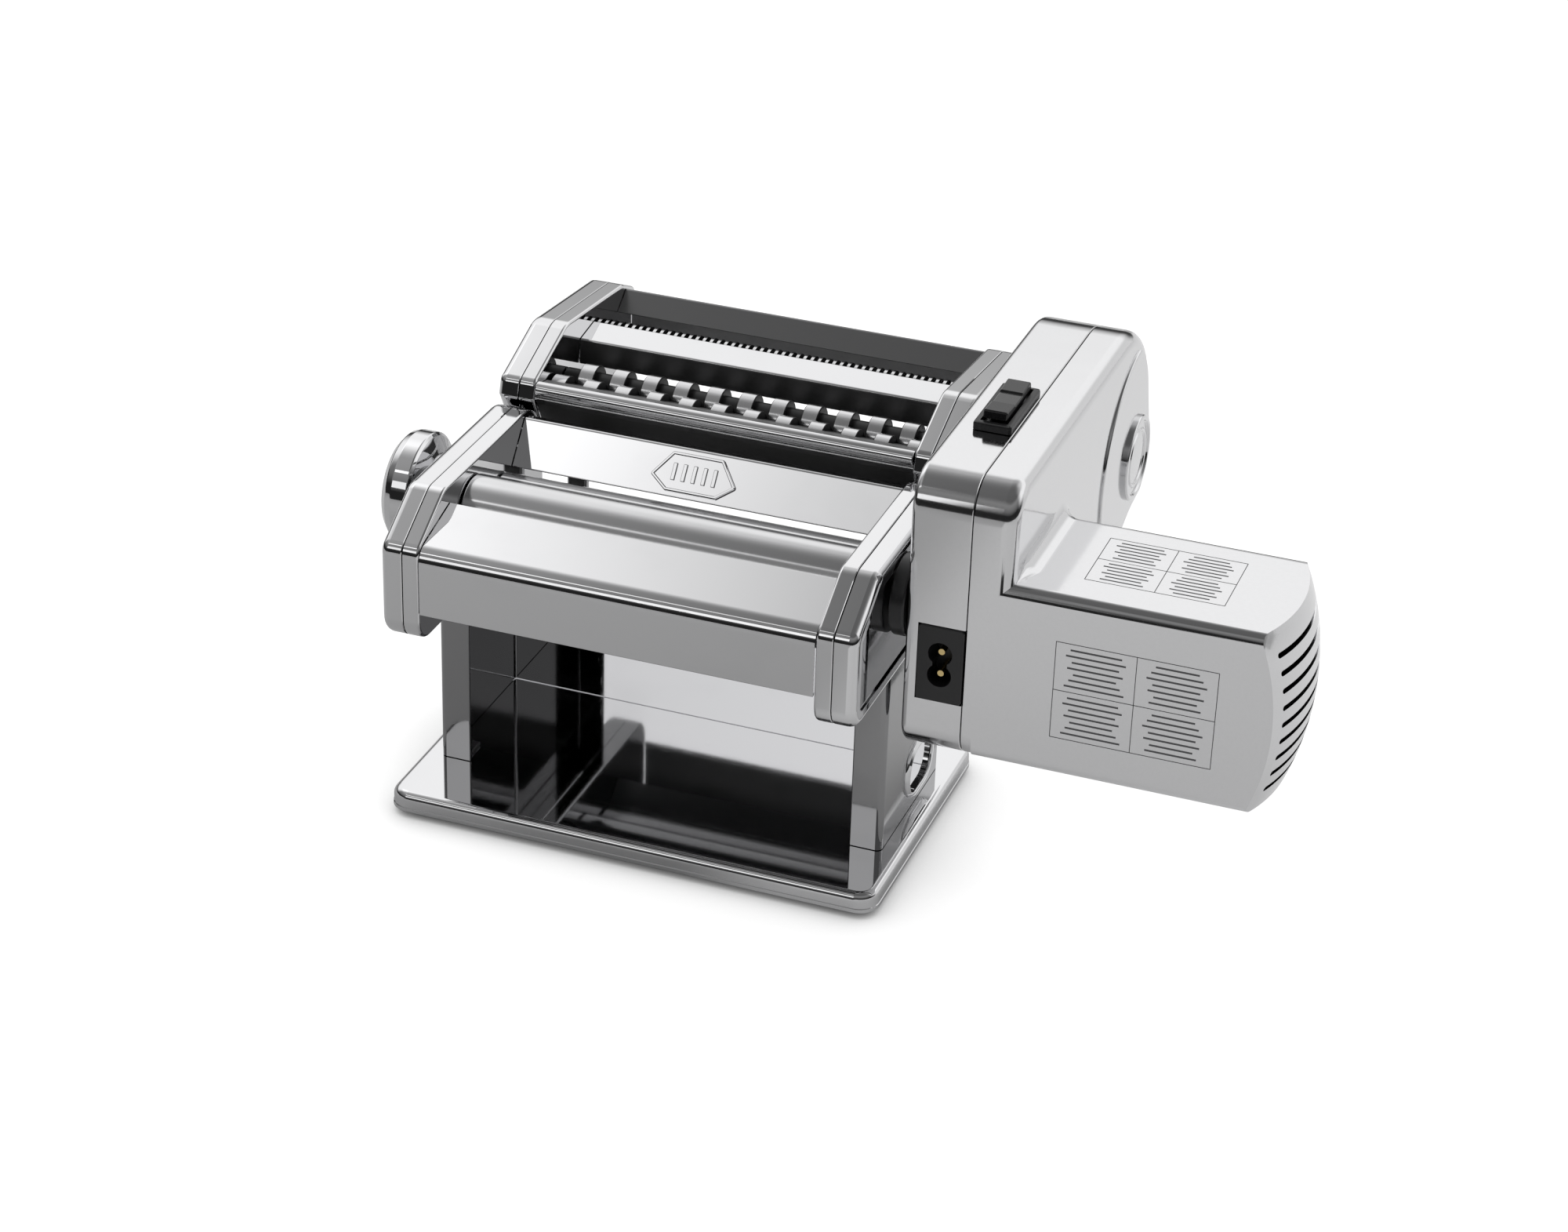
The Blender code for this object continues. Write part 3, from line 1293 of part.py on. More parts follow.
def build_gearbox_badge():
    """A plain round badge and the raised ring round it on the gearbox's face."""
    badge = turned(
        (
            (0.0, SHELL_RIGHT + GAP + 1.8),
            (BADGE_RADIUS - 1.0, SHELL_RIGHT + GAP + 1.4),
            (BADGE_RADIUS, SHELL_RIGHT + GAP + 0.6),
            (BADGE_RADIUS, SHELL_RIGHT + GAP),
            (0.0, SHELL_RIGHT + GAP),
        ),
        BADGE_AT,
        28,
    )
    ASSEMBLY.add_piece(badge, "gearbox_badge", "satin_chrome")


ASSEMBLY = None


def main():
    """Build the whole machine."""
    global ASSEMBLY
    clear_scene()
    ASSEMBLY = Assembly()
    build_base()
    build_stand()
    build_roller_housing()
    build_rollers()
    build_knob()
    build_cutter_sides()
    build_cutter_sheets()
    build_cutter_rollers()
    build_gearbox_shell()
    build_motor_housing()
    build_motor_end()
    build_gear_train()
    build_inlet()
    build_switch()
    build_gearbox_badge()


main()
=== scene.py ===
"""Looks of the electric pasta roller machine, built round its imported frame.

Shapes are worked in millimetres in the machine's own frame: X runs along the rollers with
0 at their middle, Y runs back from the front edge of the base plate, and Z is up from the
table. The Datum finds that frame from the base plate's box. Finished meshes are in metres.
"""

from __future__ import annotations

import json
import logging
import math
from dataclasses import dataclass, field
from enum import Enum
from typing import Callable, Iterable, Sequence

import bmesh
import bpy
from mathutils import Matrix, Vector

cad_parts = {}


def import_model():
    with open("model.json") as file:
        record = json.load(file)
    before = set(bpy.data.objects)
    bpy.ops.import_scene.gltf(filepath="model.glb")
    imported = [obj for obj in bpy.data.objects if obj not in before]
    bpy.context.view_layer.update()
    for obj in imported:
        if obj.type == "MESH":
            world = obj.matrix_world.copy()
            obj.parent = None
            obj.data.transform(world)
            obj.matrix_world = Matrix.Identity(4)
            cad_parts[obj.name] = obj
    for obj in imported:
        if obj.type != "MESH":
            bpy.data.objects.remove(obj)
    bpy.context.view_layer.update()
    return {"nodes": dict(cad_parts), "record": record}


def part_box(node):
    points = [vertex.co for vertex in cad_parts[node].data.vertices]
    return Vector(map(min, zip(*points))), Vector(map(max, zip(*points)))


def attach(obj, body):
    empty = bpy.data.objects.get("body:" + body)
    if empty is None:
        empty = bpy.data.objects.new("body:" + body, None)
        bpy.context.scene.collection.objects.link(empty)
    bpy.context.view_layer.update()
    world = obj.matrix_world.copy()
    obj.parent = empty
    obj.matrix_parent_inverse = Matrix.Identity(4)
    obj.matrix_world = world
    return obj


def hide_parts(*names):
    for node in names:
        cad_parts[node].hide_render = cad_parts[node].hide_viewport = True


LOG = logging.getLogger("pasta_roller_machine")
MM = 0.001
Corner = tuple[float, float, float]
Ring = list[Vector]


# ------------------------------------------------------------------------ measuring
class Plane(Enum):
    """The plane that a flat outline lies in."""

    YZ = "outline in Y and Z, thickness along X"
    XY = "outline in X and Y, thickness along Z"
    XZ = "outline in X and Z, thickness along Y"

    def lay(self, a: float, b: float, along: float) -> Vector:
        """Return the point with those outline values and that place along the thickness."""
        if self is Plane.YZ:
            return Vector((along, a, b))
        if self is Plane.XY:
            return Vector((a, b, along))
        return Vector((a, along, b))


class Side(Enum):
    """The left or right end of the rollers, with the sign of its X."""

    LEFT = -1.0
    RIGHT = 1.0

    @property
    def word(self) -> str:
        """Return the side's name as nodes spell it."""
        return self.name.lower()


@dataclass(frozen=True)
class Box:
    """A CAD node's box in the machine frame, in millimetres."""

    low: Vector
    high: Vector

    @property
    def middle(self) -> Vector:
        """Return the box's centre."""
        return (self.low + self.high) / 2


@dataclass(frozen=True)
class Datum:
    """The machine frame: where its X = 0 and Y = 0 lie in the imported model."""

    centre_x: float
    front_y: float

    @classmethod
    def from_base(cls) -> Datum:
        """Find the machine frame from the base plate, which is centred on the rollers."""
        low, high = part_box("base_plate")
        return cls(centre_x=(low.x + high.x) / 2 / MM, front_y=low.y / MM)

    def box(self, node: str) -> Box:
        """Return a node's box in the machine frame."""
        shift = Vector((self.centre_x, self.front_y, 0.0))
        low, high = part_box(node)
        return Box(low / MM - shift, high / MM - shift)

    def to_world(self) -> Matrix:
        """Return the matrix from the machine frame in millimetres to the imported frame."""
        shift = Matrix.Translation(Vector((self.centre_x, self.front_y, 0.0)) * MM)
        return shift @ Matrix.Scale(MM, 4)


# ------------------------------------------------------------------------- outlines
def fillet(corners: Sequence[Corner], steps: int = 7, closed: bool = True) -> list[Vector]:
    """Round an outline's corners.

    Args:
        corners: The (a, b, radius) corners in order.
        steps: How many faces each rounding gets.
        closed: Whether the last corner joins the first.

    Returns:
        The outline's points.
    """
    points: list[Vector] = []
    count = len(corners)
    for index, (a, b, radius) in enumerate(corners):
        here = Vector((a, b))
        is_end = not closed and index in (0, count - 1)
        before = (Vector(corners[index - 1][:2]) - here).normalized()
        after = (Vector(corners[(index + 1) % count][:2]) - here).normalized()
        half = before.angle(after, math.pi) / 2
        if is_end or radius <= 0.0 or half > math.radians(89.0):
            points.append(here)
            continue
        centre = here + (before + after).normalized() * (radius / math.sin(half))
        start = here + before * (radius / math.tan(half)) - centre
        sweep = math.pi - 2 * half
        turn = 1.0 if before.cross(after) < 0.0 else -1.0
        for step in range(steps + 1):
            points.append(centre + Matrix.Rotation(turn * sweep * step / steps, 2) @ start)
    return points


def inset(corners: Sequence[Corner], wall: float) -> list[Corner]:
    """Move every side of an outline inwards.

    Args:
        corners: The outline's (a, b, radius) corners.
        wall: How far each side moves; a negative value moves it outwards.

    Returns:
        The new corners, with their roundings kept concentric.
    """
    count = len(corners)
    flat = [Vector(corner[:2]) for corner in corners]
    area = sum(flat[i - 1].cross(flat[i]) for i in range(count))
    sign = 1.0 if area > 0.0 else -1.0
    moved: list[Corner] = []
    for index, here in enumerate(flat):
        back = (here - flat[index - 1]).normalized()
        ahead = (flat[(index + 1) % count] - here).normalized()
        turn = back.cross(ahead) * sign
        normal_back = Vector((-back.y, back.x)) * sign
        normal_ahead = Vector((-ahead.y, ahead.x)) * sign
        reach = wall / max(1.0 + normal_back.dot(normal_ahead), 0.2)
        place = here + (normal_back + normal_ahead) * reach
        radius = corners[index][2]
        if radius > 0.0:
            radius = max(radius - wall if turn > 0.0 else radius + wall, 0.05)
        moved.append((place.x, place.y, radius))
    return moved


def quarter(
    inner: float, radius: float, start: float, towards: float, steps: int = 5,
) -> list[tuple[float, float]]:
    """Give the (inset, along) stations of a rounded edge.

    Args:
        inner: The inset before the rounding.
        radius: The rounding's radius.
        start: Where along the thickness the straight wall ends.
        towards: +1 or -1, the way the rounding runs along the thickness.
        steps: How many faces the rounding gets.

    Returns:
        The stations from the wall to the face.
    """
    stations = []
    for step in range(steps + 1):
        angle = math.pi / 2 * step / steps
        stations.append(
            (inner + radius * (1 - math.cos(angle)), start + towards * radius * math.sin(angle))
        )
    return stations


def sheet_outline(path: Sequence[tuple[float, float]], thickness: float, bend: float) -> list[Corner]:
    """Give a bent sheet's cross-section.

    Args:
        path: The sheet's middle line.
        thickness: The sheet's thickness.
        bend: The radius of each bend at the middle line.

    Returns:
        The corners of the closed cross-section.
    """
    left: list[Corner] = []
    right: list[Corner] = []
    for index, place in enumerate(path):
        here = Vector(place)
        back = (here - Vector(path[index - 1])).normalized() if index else None
        ahead = (Vector(path[index + 1]) - here).normalized() if index < len(path) - 1 else None
        along = ((back or ahead) + (ahead or back)).normalized()
        normal = Vector((-along.y, along.x))
        reach = thickness / 2 / max(along.dot(back or ahead), 0.3)
        grow = 0.0
        if back is not None and ahead is not None:
            grow = thickness / 2 if back.cross(ahead) < 0.0 else -thickness / 2
        radius = bend if back is not None and ahead is not None else thickness * 0.4
        left.append((*(here + normal * reach), max(radius + grow, 0.1)))
        right.append((*(here - normal * reach), max(radius - grow, 0.1)))
    return left + right[::-1]


# --------------------------------------------------------------------------- meshes
def loft(bm: bmesh.types.BMesh, rings: Sequence[Ring], capped: bool = True) -> None:
    """Join rings of equal length by faces, and close the first and last.

    Args:
        bm: The mesh to add to.
        rings: The rings in order.
        capped: Whether the two end rings are closed by a flat face.
    """
    rows = [[bm.verts.new(point) for point in ring] for ring in rings]
    for lower, upper in zip(rows, rows[1:]):
        count = len(lower)
        for index in range(count):
            ahead = (index + 1) % count
            bm.faces.new((lower[index], lower[ahead], upper[ahead], upper[index]))
    if capped:
        bm.faces.new(rows[0][::-1])
        bm.faces.new(rows[-1])


def outline_block(
    corners: Sequence[Corner],
    plane: Plane,
    stations: Sequence[tuple[float, float]],
    steps: int = 7,
    bm: bmesh.types.BMesh | None = None,
) -> bmesh.types.BMesh:
    """Build a solid from one outline that is inset by stages along its thickness.

    Args:
        corners: The outline's (a, b, radius) corners.
        plane: The plane of the outline.
        stations: The (inset, place along the thickness) pairs in order.
        steps: How many faces each rounded corner gets.
        bm: A mesh to add to, or none for a new one.

    Returns:
        The mesh.
    """
    bm = bm or bmesh.new()
    rings = []
    for wall, along in stations:
        outline = fillet(inset(corners, wall), steps)
        rings.append([plane.lay(point.x, point.y, along) for point in outline])
    loft(bm, rings)
    return bm


def turned(
    profile: Sequence[Corner],
    centre: tuple[float, float],
    sides: int = 96,
    bm: bmesh.types.BMesh | None = None,
) -> bmesh.types.BMesh:
    """Turn a profile about an axis parallel to X.

    Args:
        profile: The (x, radius, rounding) corners from one end to the other.
        centre: The axis's Y and Z.
        sides: How many faces go round.
        bm: A mesh to add to, or none for a new one.

    Returns:
        The mesh.
    """
    bm = bm or bmesh.new()
    rings = []
    for point in fillet(profile, 5, closed=False):
        radius = max(point.y, 0.0)
        ring = []
        for side in range(sides):
            angle = 2 * math.pi * side / sides
            y = centre[0] + radius * math.cos(angle)
            z = centre[1] + radius * math.sin(angle)
            ring.append(Vector((point.x, y, z)))
        rings.append(ring)
    loft(bm, rings, capped=False)
    bmesh.ops.remove_doubles(bm, verts=bm.verts, dist=0.0005)
    return bm


def drum(
    x_low: float, x_high: float, centre: tuple[float, float], radius: float, sides: int = 48,
) -> bmesh.types.BMesh:
    """Return a plain cutter cylinder along X."""
    return turned(
        ((x_low, 0, 0), (x_low, radius, 0), (x_high, radius, 0), (x_high, 0, 0)), centre, sides
    )


def block(low: Sequence[float], high: Sequence[float], edge: float = 0.0) -> bmesh.types.BMesh:
    """Build a block whose upright corners and top and bottom edges are rounded.

    Args:
        low: The lowest corner.
        high: The highest corner.
        edge: The rounding's radius.

    Returns:
        The mesh.
    """
    corners = (
        (low[0], low[1], edge),
        (high[0], low[1], edge),
        (high[0], high[1], edge),
        (low[0], high[1], edge),
    )
    if edge <= 0.0:
        return outline_block(corners, Plane.XY, ((0, low[2]), (0, high[2])))
    stations = [(edge, low[2]), (0, low[2] + edge)]
    stations += quarter(0, edge, high[2] - edge, 1, 3)
    return outline_block(corners, Plane.XY, stations, 4)


def new_piece(bm: bmesh.types.BMesh, name: str) -> bpy.types.Object:
    """Turn a mesh in the machine frame into an object in the scene."""
    bmesh.ops.recalc_face_normals(bm, faces=bm.faces)
    mesh = bpy.data.meshes.new(name)
    bm.to_mesh(mesh)
    bm.free()
    holder = bpy.data.objects.new(name, mesh)
    bpy.context.scene.collection.objects.link(holder)
    return holder


def bake(holder: bpy.types.Object) -> None:
    """Replace an object's mesh by what its modifiers make of it, and drop them."""
    bpy.context.view_layer.update()
    graph = bpy.context.evaluated_depsgraph_get()
    mesh = bpy.data.meshes.new_from_object(holder.evaluated_get(graph), depsgraph=graph)
    holder.modifiers.clear()
    holder.data = mesh
    mesh.name = holder.name


# ------------------------------------------------------------------- geometry nodes
class RepeatTree:
    """Geometry Nodes that copy a shape along a line."""

    SOCKETS = (
        ("Shape", "NodeSocketObject"),
        ("Count", "NodeSocketInt"),
        ("Start", "NodeSocketVector"),
        ("Step", "NodeSocketVector"),
        ("Finish", "NodeSocketMaterial"),
    )

    def __init__(self) -> None:
        """Build the tree once."""
        tree = bpy.data.node_groups.new("repeat_shape", "GeometryNodeTree")
        for name, kind in self.SOCKETS:
            tree.interface.new_socket(name=name, in_out="INPUT", socket_type=kind)
        tree.interface.new_socket(
            name="Geometry", in_out="OUTPUT", socket_type="NodeSocketGeometry"
        )
        add = tree.nodes.new
        source, sink = add("NodeGroupInput"), add("NodeGroupOutput")
        points, index = add("GeometryNodePoints"), add("GeometryNodeInputIndex")
        shape, put = add("GeometryNodeObjectInfo"), add("GeometryNodeInstanceOnPoints")
        place, lift = add("ShaderNodeVectorMath"), add("ShaderNodeVectorMath")
        settle, real = add("GeometryNodeSetPosition"), add("GeometryNodeRealizeInstances")
        paint = add("GeometryNodeSetMaterial")
        place.operation, lift.operation = "SCALE", "ADD"
        join = tree.links.new
        join(source.outputs["Count"], points.inputs["Count"])
        join(source.outputs["Step"], place.inputs[0])
        join(index.outputs[0], place.inputs["Scale"])
        join(place.outputs[0], lift.inputs[0])
        join(source.outputs["Start"], lift.inputs[1])
        join(points.outputs[0], settle.inputs["Geometry"])
        join(lift.outputs[0], settle.inputs["Position"])
        join(settle.outputs[0], put.inputs["Points"])
        join(source.outputs["Shape"], shape.inputs["Object"])
        join(shape.outputs["Geometry"], put.inputs["Instance"])
        join(put.outputs[0], real.inputs[0])
        join(real.outputs[0], paint.inputs["Geometry"])
        join(source.outputs["Finish"], paint.inputs["Material"])
        join(paint.outputs[0], sink.inputs[0])
        self.tree = tree

    def run(
        self,
        shape: bmesh.types.BMesh,
        count: int,
        finish: bpy.types.Material,
        start: Sequence[float],
        step: Sequence[float],
    ) -> bmesh.types.BMesh:
        """Copy a shape.

        Args:
            shape: The shape, in millimetres.
            count: How many copies.
            finish: The material set on the copies.
            start: Where the first copy goes.
            step: The way from one copy to the next.

        Returns:
            The copies as one mesh.
        """
        source = new_piece(shape, "repeat_source")
        holder = bpy.data.objects.new("repeat", bpy.data.meshes.new("repeat"))
        bpy.context.scene.collection.objects.link(holder)
        modifier = holder.modifiers.new("repeat", "NODES")
        modifier.node_group = self.tree
        values = {
            "Shape": source, "Count": count, "Start": tuple(map(float, start)),
            "Step": tuple(map(float, step)), "Finish": finish,
        }
        for item in self.tree.interface.items_tree:
            if item.in_out == "INPUT":
                modifier[item.identifier] = values[item.name]
        bake(holder)
        bm = bmesh.new()
        bm.from_mesh(holder.data)
        bpy.data.objects.remove(holder)
        bpy.data.objects.remove(source)
        return bm


# ------------------------------------------------------------------------- finishes
class ShaderGroup:
    """A shader node group with named inputs, built once and placed in materials."""

    def __init__(self, name: str, inputs: dict[str, float], outputs: Iterable[str]) -> None:
        """Make the empty group with float sockets."""
        self.tree = bpy.data.node_groups.new(name, "ShaderNodeTree")
        for label, value in inputs.items():
            socket = self.tree.interface.new_socket(
                name=label, in_out="INPUT", socket_type="NodeSocketFloat"
            )
            socket.default_value = value
        for label in outputs:
            self.tree.interface.new_socket(
                name=label, in_out="OUTPUT", socket_type="NodeSocketFloat"
            )
        self.source = self.tree.nodes.new("NodeGroupInput")
        self.sink = self.tree.nodes.new("NodeGroupOutput")
        self.where = self.tree.nodes.new("ShaderNodeTexCoord").outputs["Object"]

    def node(self, kind: str, **settings: object) -> bpy.types.Node:
        """Add a node with those settings."""
        made = self.tree.nodes.new(kind)
        for key, value in settings.items():
            setattr(made, key, value)
        return made

    def join(self, first: bpy.types.NodeSocket, second: bpy.types.NodeSocket) -> None:
        """Link two sockets."""
        self.tree.links.new(first, second)

    def noise(
        self, scale: bpy.types.NodeSocket | float, stretch: Sequence[float] = (1, 1, 1), detail: float = 4.0,
    ) -> bpy.types.NodeSocket:
        """Add a noise over Object coordinates and return its value."""
        lie = self.node("ShaderNodeMapping")
        lie.inputs["Scale"].default_value = stretch
        self.join(self.where, lie.inputs["Vector"])
        grain = self.node("ShaderNodeTexNoise")
        grain.inputs["Detail"].default_value = detail
        self.join(lie.outputs[0], grain.inputs["Vector"])
        if isinstance(scale, bpy.types.NodeSocket):
            self.join(scale, grain.inputs["Scale"])
        else:
            grain.inputs["Scale"].default_value = scale
        return grain.outputs[0]

    def math(self, operation: str, first: object, second: object = 0.0) -> bpy.types.NodeSocket:
        """Add a Math node on sockets or numbers and return its value."""
        made = self.node("ShaderNodeMath", operation=operation)
        for socket, value in zip(made.inputs, (first, second)):
            if isinstance(value, bpy.types.NodeSocket):
                self.join(value, socket)
            else:
                socket.default_value = value
        return made.outputs[0]

    def ramp(self, value: bpy.types.NodeSocket, low: float, high: float) -> bpy.types.NodeSocket:
        """Spread values between low and high over 0 to 1."""
        made = self.node("ShaderNodeMapRange", interpolation_type="SMOOTHSTEP")
        self.join(value, made.inputs["Value"])
        made.inputs["From Min"].default_value = low
        made.inputs["From Max"].default_value = high
        return made.outputs[0]


def handling_group() -> ShaderGroup:
    """Build the haze of handling: faint smears and hair scratches on polished metal.

    Returns:
        A group with outputs Roughness, Height and Mask.
    """
    group = ShaderGroup(
        "handling_haze", {"Roughness": 0.05, "Smears": 0.05, "Scratches": 0.03},
        ("Roughness", "Height", "Mask"),
    )
    smear = group.ramp(group.noise(26.0, (1.0, 1.0, 1.6)), 0.50, 0.78)
    hair = group.ramp(group.noise(90.0, (30.0, 1.0, 1.0), 6.0), 0.66, 0.74)
    cross = group.ramp(group.noise(80.0, (1.0, 24.0, 3.0), 6.0), 0.67, 0.74)
    lines = group.math("MAXIMUM", hair, cross)
    worn = group.math("MULTIPLY", smear, group.source.outputs["Smears"])
    rough = group.math("ADD", group.source.outputs["Roughness"], worn)
    rough = group.math("ADD", rough, group.math("MULTIPLY", lines, group.source.outputs["Scratches"]))
    group.join(rough, group.sink.inputs["Roughness"])
    group.join(group.math("MULTIPLY", lines, -1.0), group.sink.inputs["Height"])
    group.join(smear, group.sink.inputs["Mask"])
    return group


def casting_group() -> ShaderGroup:
    """Build the soft waviness of a plated casting.

    Returns:
        A group with outputs Height and Fine.
    """
    group = ShaderGroup("casting_wave", {"Wave Scale": 45.0, "Fine Scale": 900.0}, ("Height", "Fine"))
    group.join(group.noise(group.source.outputs["Wave Scale"], detail=1.5), group.sink.inputs["Height"])
    group.join(group.noise(group.source.outputs["Fine Scale"], detail=2.0), group.sink.inputs["Fine"])
    return group


def turning_group() -> ShaderGroup:
    """Build the fine tool marks that run round a turned roller.

    Returns:
        A group with outputs Height and Band.
    """
    group = ShaderGroup("turning_marks", {"Mark Scale": 1500.0}, ("Height", "Band"))
    marks = group.noise(group.source.outputs["Mark Scale"], (1.0, 0.01, 0.01), 3.0)
    band = group.noise(60.0, (1.0, 0.05, 0.05), 2.0)
    group.join(marks, group.sink.inputs["Height"])
    group.join(band, group.sink.inputs["Band"])
    return group


def grain_group() -> ShaderGroup:
    """Build the spark-eroded grain of moulded plastic, with settled dust.

    Returns:
        A group with outputs Height and Dust.
    """
    group = ShaderGroup("moulded_grain", {"Grain Scale": 2600.0}, ("Height", "Dust"))
    group.join(group.noise(group.source.outputs["Grain Scale"], detail=2.0), group.sink.inputs["Height"])
    group.join(group.ramp(group.noise(220.0), 0.62, 0.8), group.sink.inputs["Dust"])
    return group


class Effect(Enum):
    """The surface effect that a finish carries."""

    HANDLING = "handling"
    CASTING = "casting"
    TURNING = "turning"
    GRAIN = "grain"


@dataclass(frozen=True)
class Finish:
    """One surface finish: its colours, gloss and the effect that varies it."""

    slot: str
    colour: tuple[float, float, float]
    shade: tuple[float, float, float]
    roughness: float
    metallic: float
    effect: Effect
    spread: float = 0.05
    bump: float = 0.02
    distance: float = 0.0001
    coat: float = 0.0

    def build(self, name: str, groups: dict[Effect, ShaderGroup]) -> bpy.types.Material:
        """Make the material.

        Args:
            name: The material's name.
            groups: The shader groups by effect.

        Returns:
            The new material.
        """
        material = bpy.data.materials.new(name)
        material.use_nodes = True
        nodes, links = material.node_tree.nodes, material.node_tree.links
        shader = nodes["Principled BSDF"]
        shader.inputs["Metallic"].default_value = self.metallic
        shader.inputs["Coat Weight"].default_value = self.coat
        shader.inputs["Coat Roughness"].default_value = 0.12
        group = nodes.new("ShaderNodeGroup")
        group.node_tree = groups[self.effect].tree
        tint = nodes.new("ShaderNodeMix")
        tint.data_type = "RGBA"
        tint.inputs["A"].default_value = (*self.colour, 1.0)
        tint.inputs["B"].default_value = (*self.shade, 1.0)
        bump = nodes.new("ShaderNodeBump")
        bump.inputs["Strength"].default_value = self.bump
        bump.inputs["Distance"].default_value = self.distance
        if self.effect is Effect.HANDLING:
            group.inputs["Roughness"].default_value = self.roughness
            group.inputs["Smears"].default_value = self.spread
            group.inputs["Scratches"].default_value = self.spread * 0.6
            links.new(group.outputs["Roughness"], shader.inputs["Roughness"])
            factor = group.outputs["Mask"]
        else:
            factor = {
                Effect.CASTING: "Fine", Effect.TURNING: "Band", Effect.GRAIN: "Dust",
            }[self.effect]
            factor = group.outputs[factor]
            reach = nodes.new("ShaderNodeMapRange")
            reach.inputs["To Min"].default_value = self.roughness - self.spread / 2
            reach.inputs["To Max"].default_value = self.roughness + self.spread / 2
            links.new(factor, reach.inputs["Value"])
            links.new(reach.outputs[0], shader.inputs["Roughness"])
        links.new(factor, tint.inputs["Factor"])
        links.new(tint.outputs["Result"], shader.inputs["Base Color"])
        links.new(group.outputs["Height"], bump.inputs["Height"])
        links.new(bump.outputs[0], shader.inputs["Normal"])
        return material


def grey(value: float) -> tuple[float, float, float]:
    """Return a neutral colour with the faint blue cast of chromium."""
    return (value, value, value * 1.012)


FINISHES: dict[str, Finish] = {
    "chrome": Finish("chrome", grey(0.70), grey(0.68), 0.035, 1.0, Effect.HANDLING, 0.015, 0.04, 0.00002),
    "chrome_shaded": Finish(
        "chrome", grey(0.30), grey(0.27), 0.08, 1.0, Effect.HANDLING, 0.03, 0.04, 0.00002,
    ),
    # painted shade: a near-black chrome for the sheets' inside and under faces, standing in for the shade
    # inside the housing
    "raw_inside": Finish("chrome", grey(0.10), grey(0.07), 0.45, 1.0, Effect.HANDLING, 0.10, 0.05, 0.00003),
    # painted shade: near-black steel for the cutter cores and ring sides, standing in for the shade between
    # the rings
    "cutter_core": Finish(
        "roller_steel", grey(0.06), grey(0.04), 0.45, 1.0, Effect.TURNING, 0.10, 0.08, 0.00002,
    ),
    "satin_chrome": Finish(
        "satin_chrome", grey(0.70), grey(0.67), 0.10, 1.0, Effect.CASTING, 0.03, 0.25, 0.0002,
    ),
    "grey_steel": Finish("chrome", grey(0.24), grey(0.21), 0.38, 1.0, Effect.HANDLING, 0.06, 0.03, 0.00002),
    "roller_steel": Finish(
        "roller_steel", grey(0.66), grey(0.60), 0.15, 1.0, Effect.TURNING, 0.05, 0.08, 0.00002,
    ),
    "cutter_steel": Finish(
        "roller_steel", grey(0.66), grey(0.60), 0.17, 1.0, Effect.TURNING, 0.06, 0.08, 0.00002,
    ),
    "zinc_plate": Finish(
        "zinc_plate", grey(0.42), grey(0.36), 0.36, 1.0, Effect.HANDLING, 0.10, 0.04, 0.00003,
    ),
    "gear_steel": Finish(
        "gear_steel", grey(0.36), grey(0.28), 0.32, 1.0, Effect.TURNING, 0.10, 0.10, 0.00003,
    ),
    "bronze": Finish(
        "bronze", (0.55, 0.38, 0.18), (0.42, 0.28, 0.13), 0.34, 1.0, Effect.TURNING, 0.08, 0.10, 0.00003,
    ),
    "black_plastic": Finish(
        "black_plastic", (0.012, 0.012, 0.013), (0.05, 0.05, 0.05), 0.38, 0.0,
        Effect.GRAIN, 0.10, 0.18, 0.00005,
    ),
    "gloss_plastic": Finish(
        "black_plastic", (0.010, 0.010, 0.011), (0.03, 0.03, 0.03), 0.18, 0.0,
        Effect.GRAIN, 0.06, 0.03, 0.00002,
    ),
    "rubber": Finish(
        "rubber", (0.018, 0.018, 0.018), (0.06, 0.06, 0.058), 0.80, 0.0, Effect.GRAIN, 0.08, 0.30, 0.00008,
    ),
    "brass_pin": Finish(
        "brass_pin", (0.74, 0.58, 0.28), (0.62, 0.47, 0.22), 0.22, 1.0, Effect.TURNING, 0.05, 0.05, 0.00002,
    ),
    "grey_print": Finish(
        "satin_chrome", (0.11, 0.11, 0.115), (0.15, 0.15, 0.155), 0.5, 0.2, Effect.GRAIN, 0.05, 0.05, 0.00002,
    ),
}


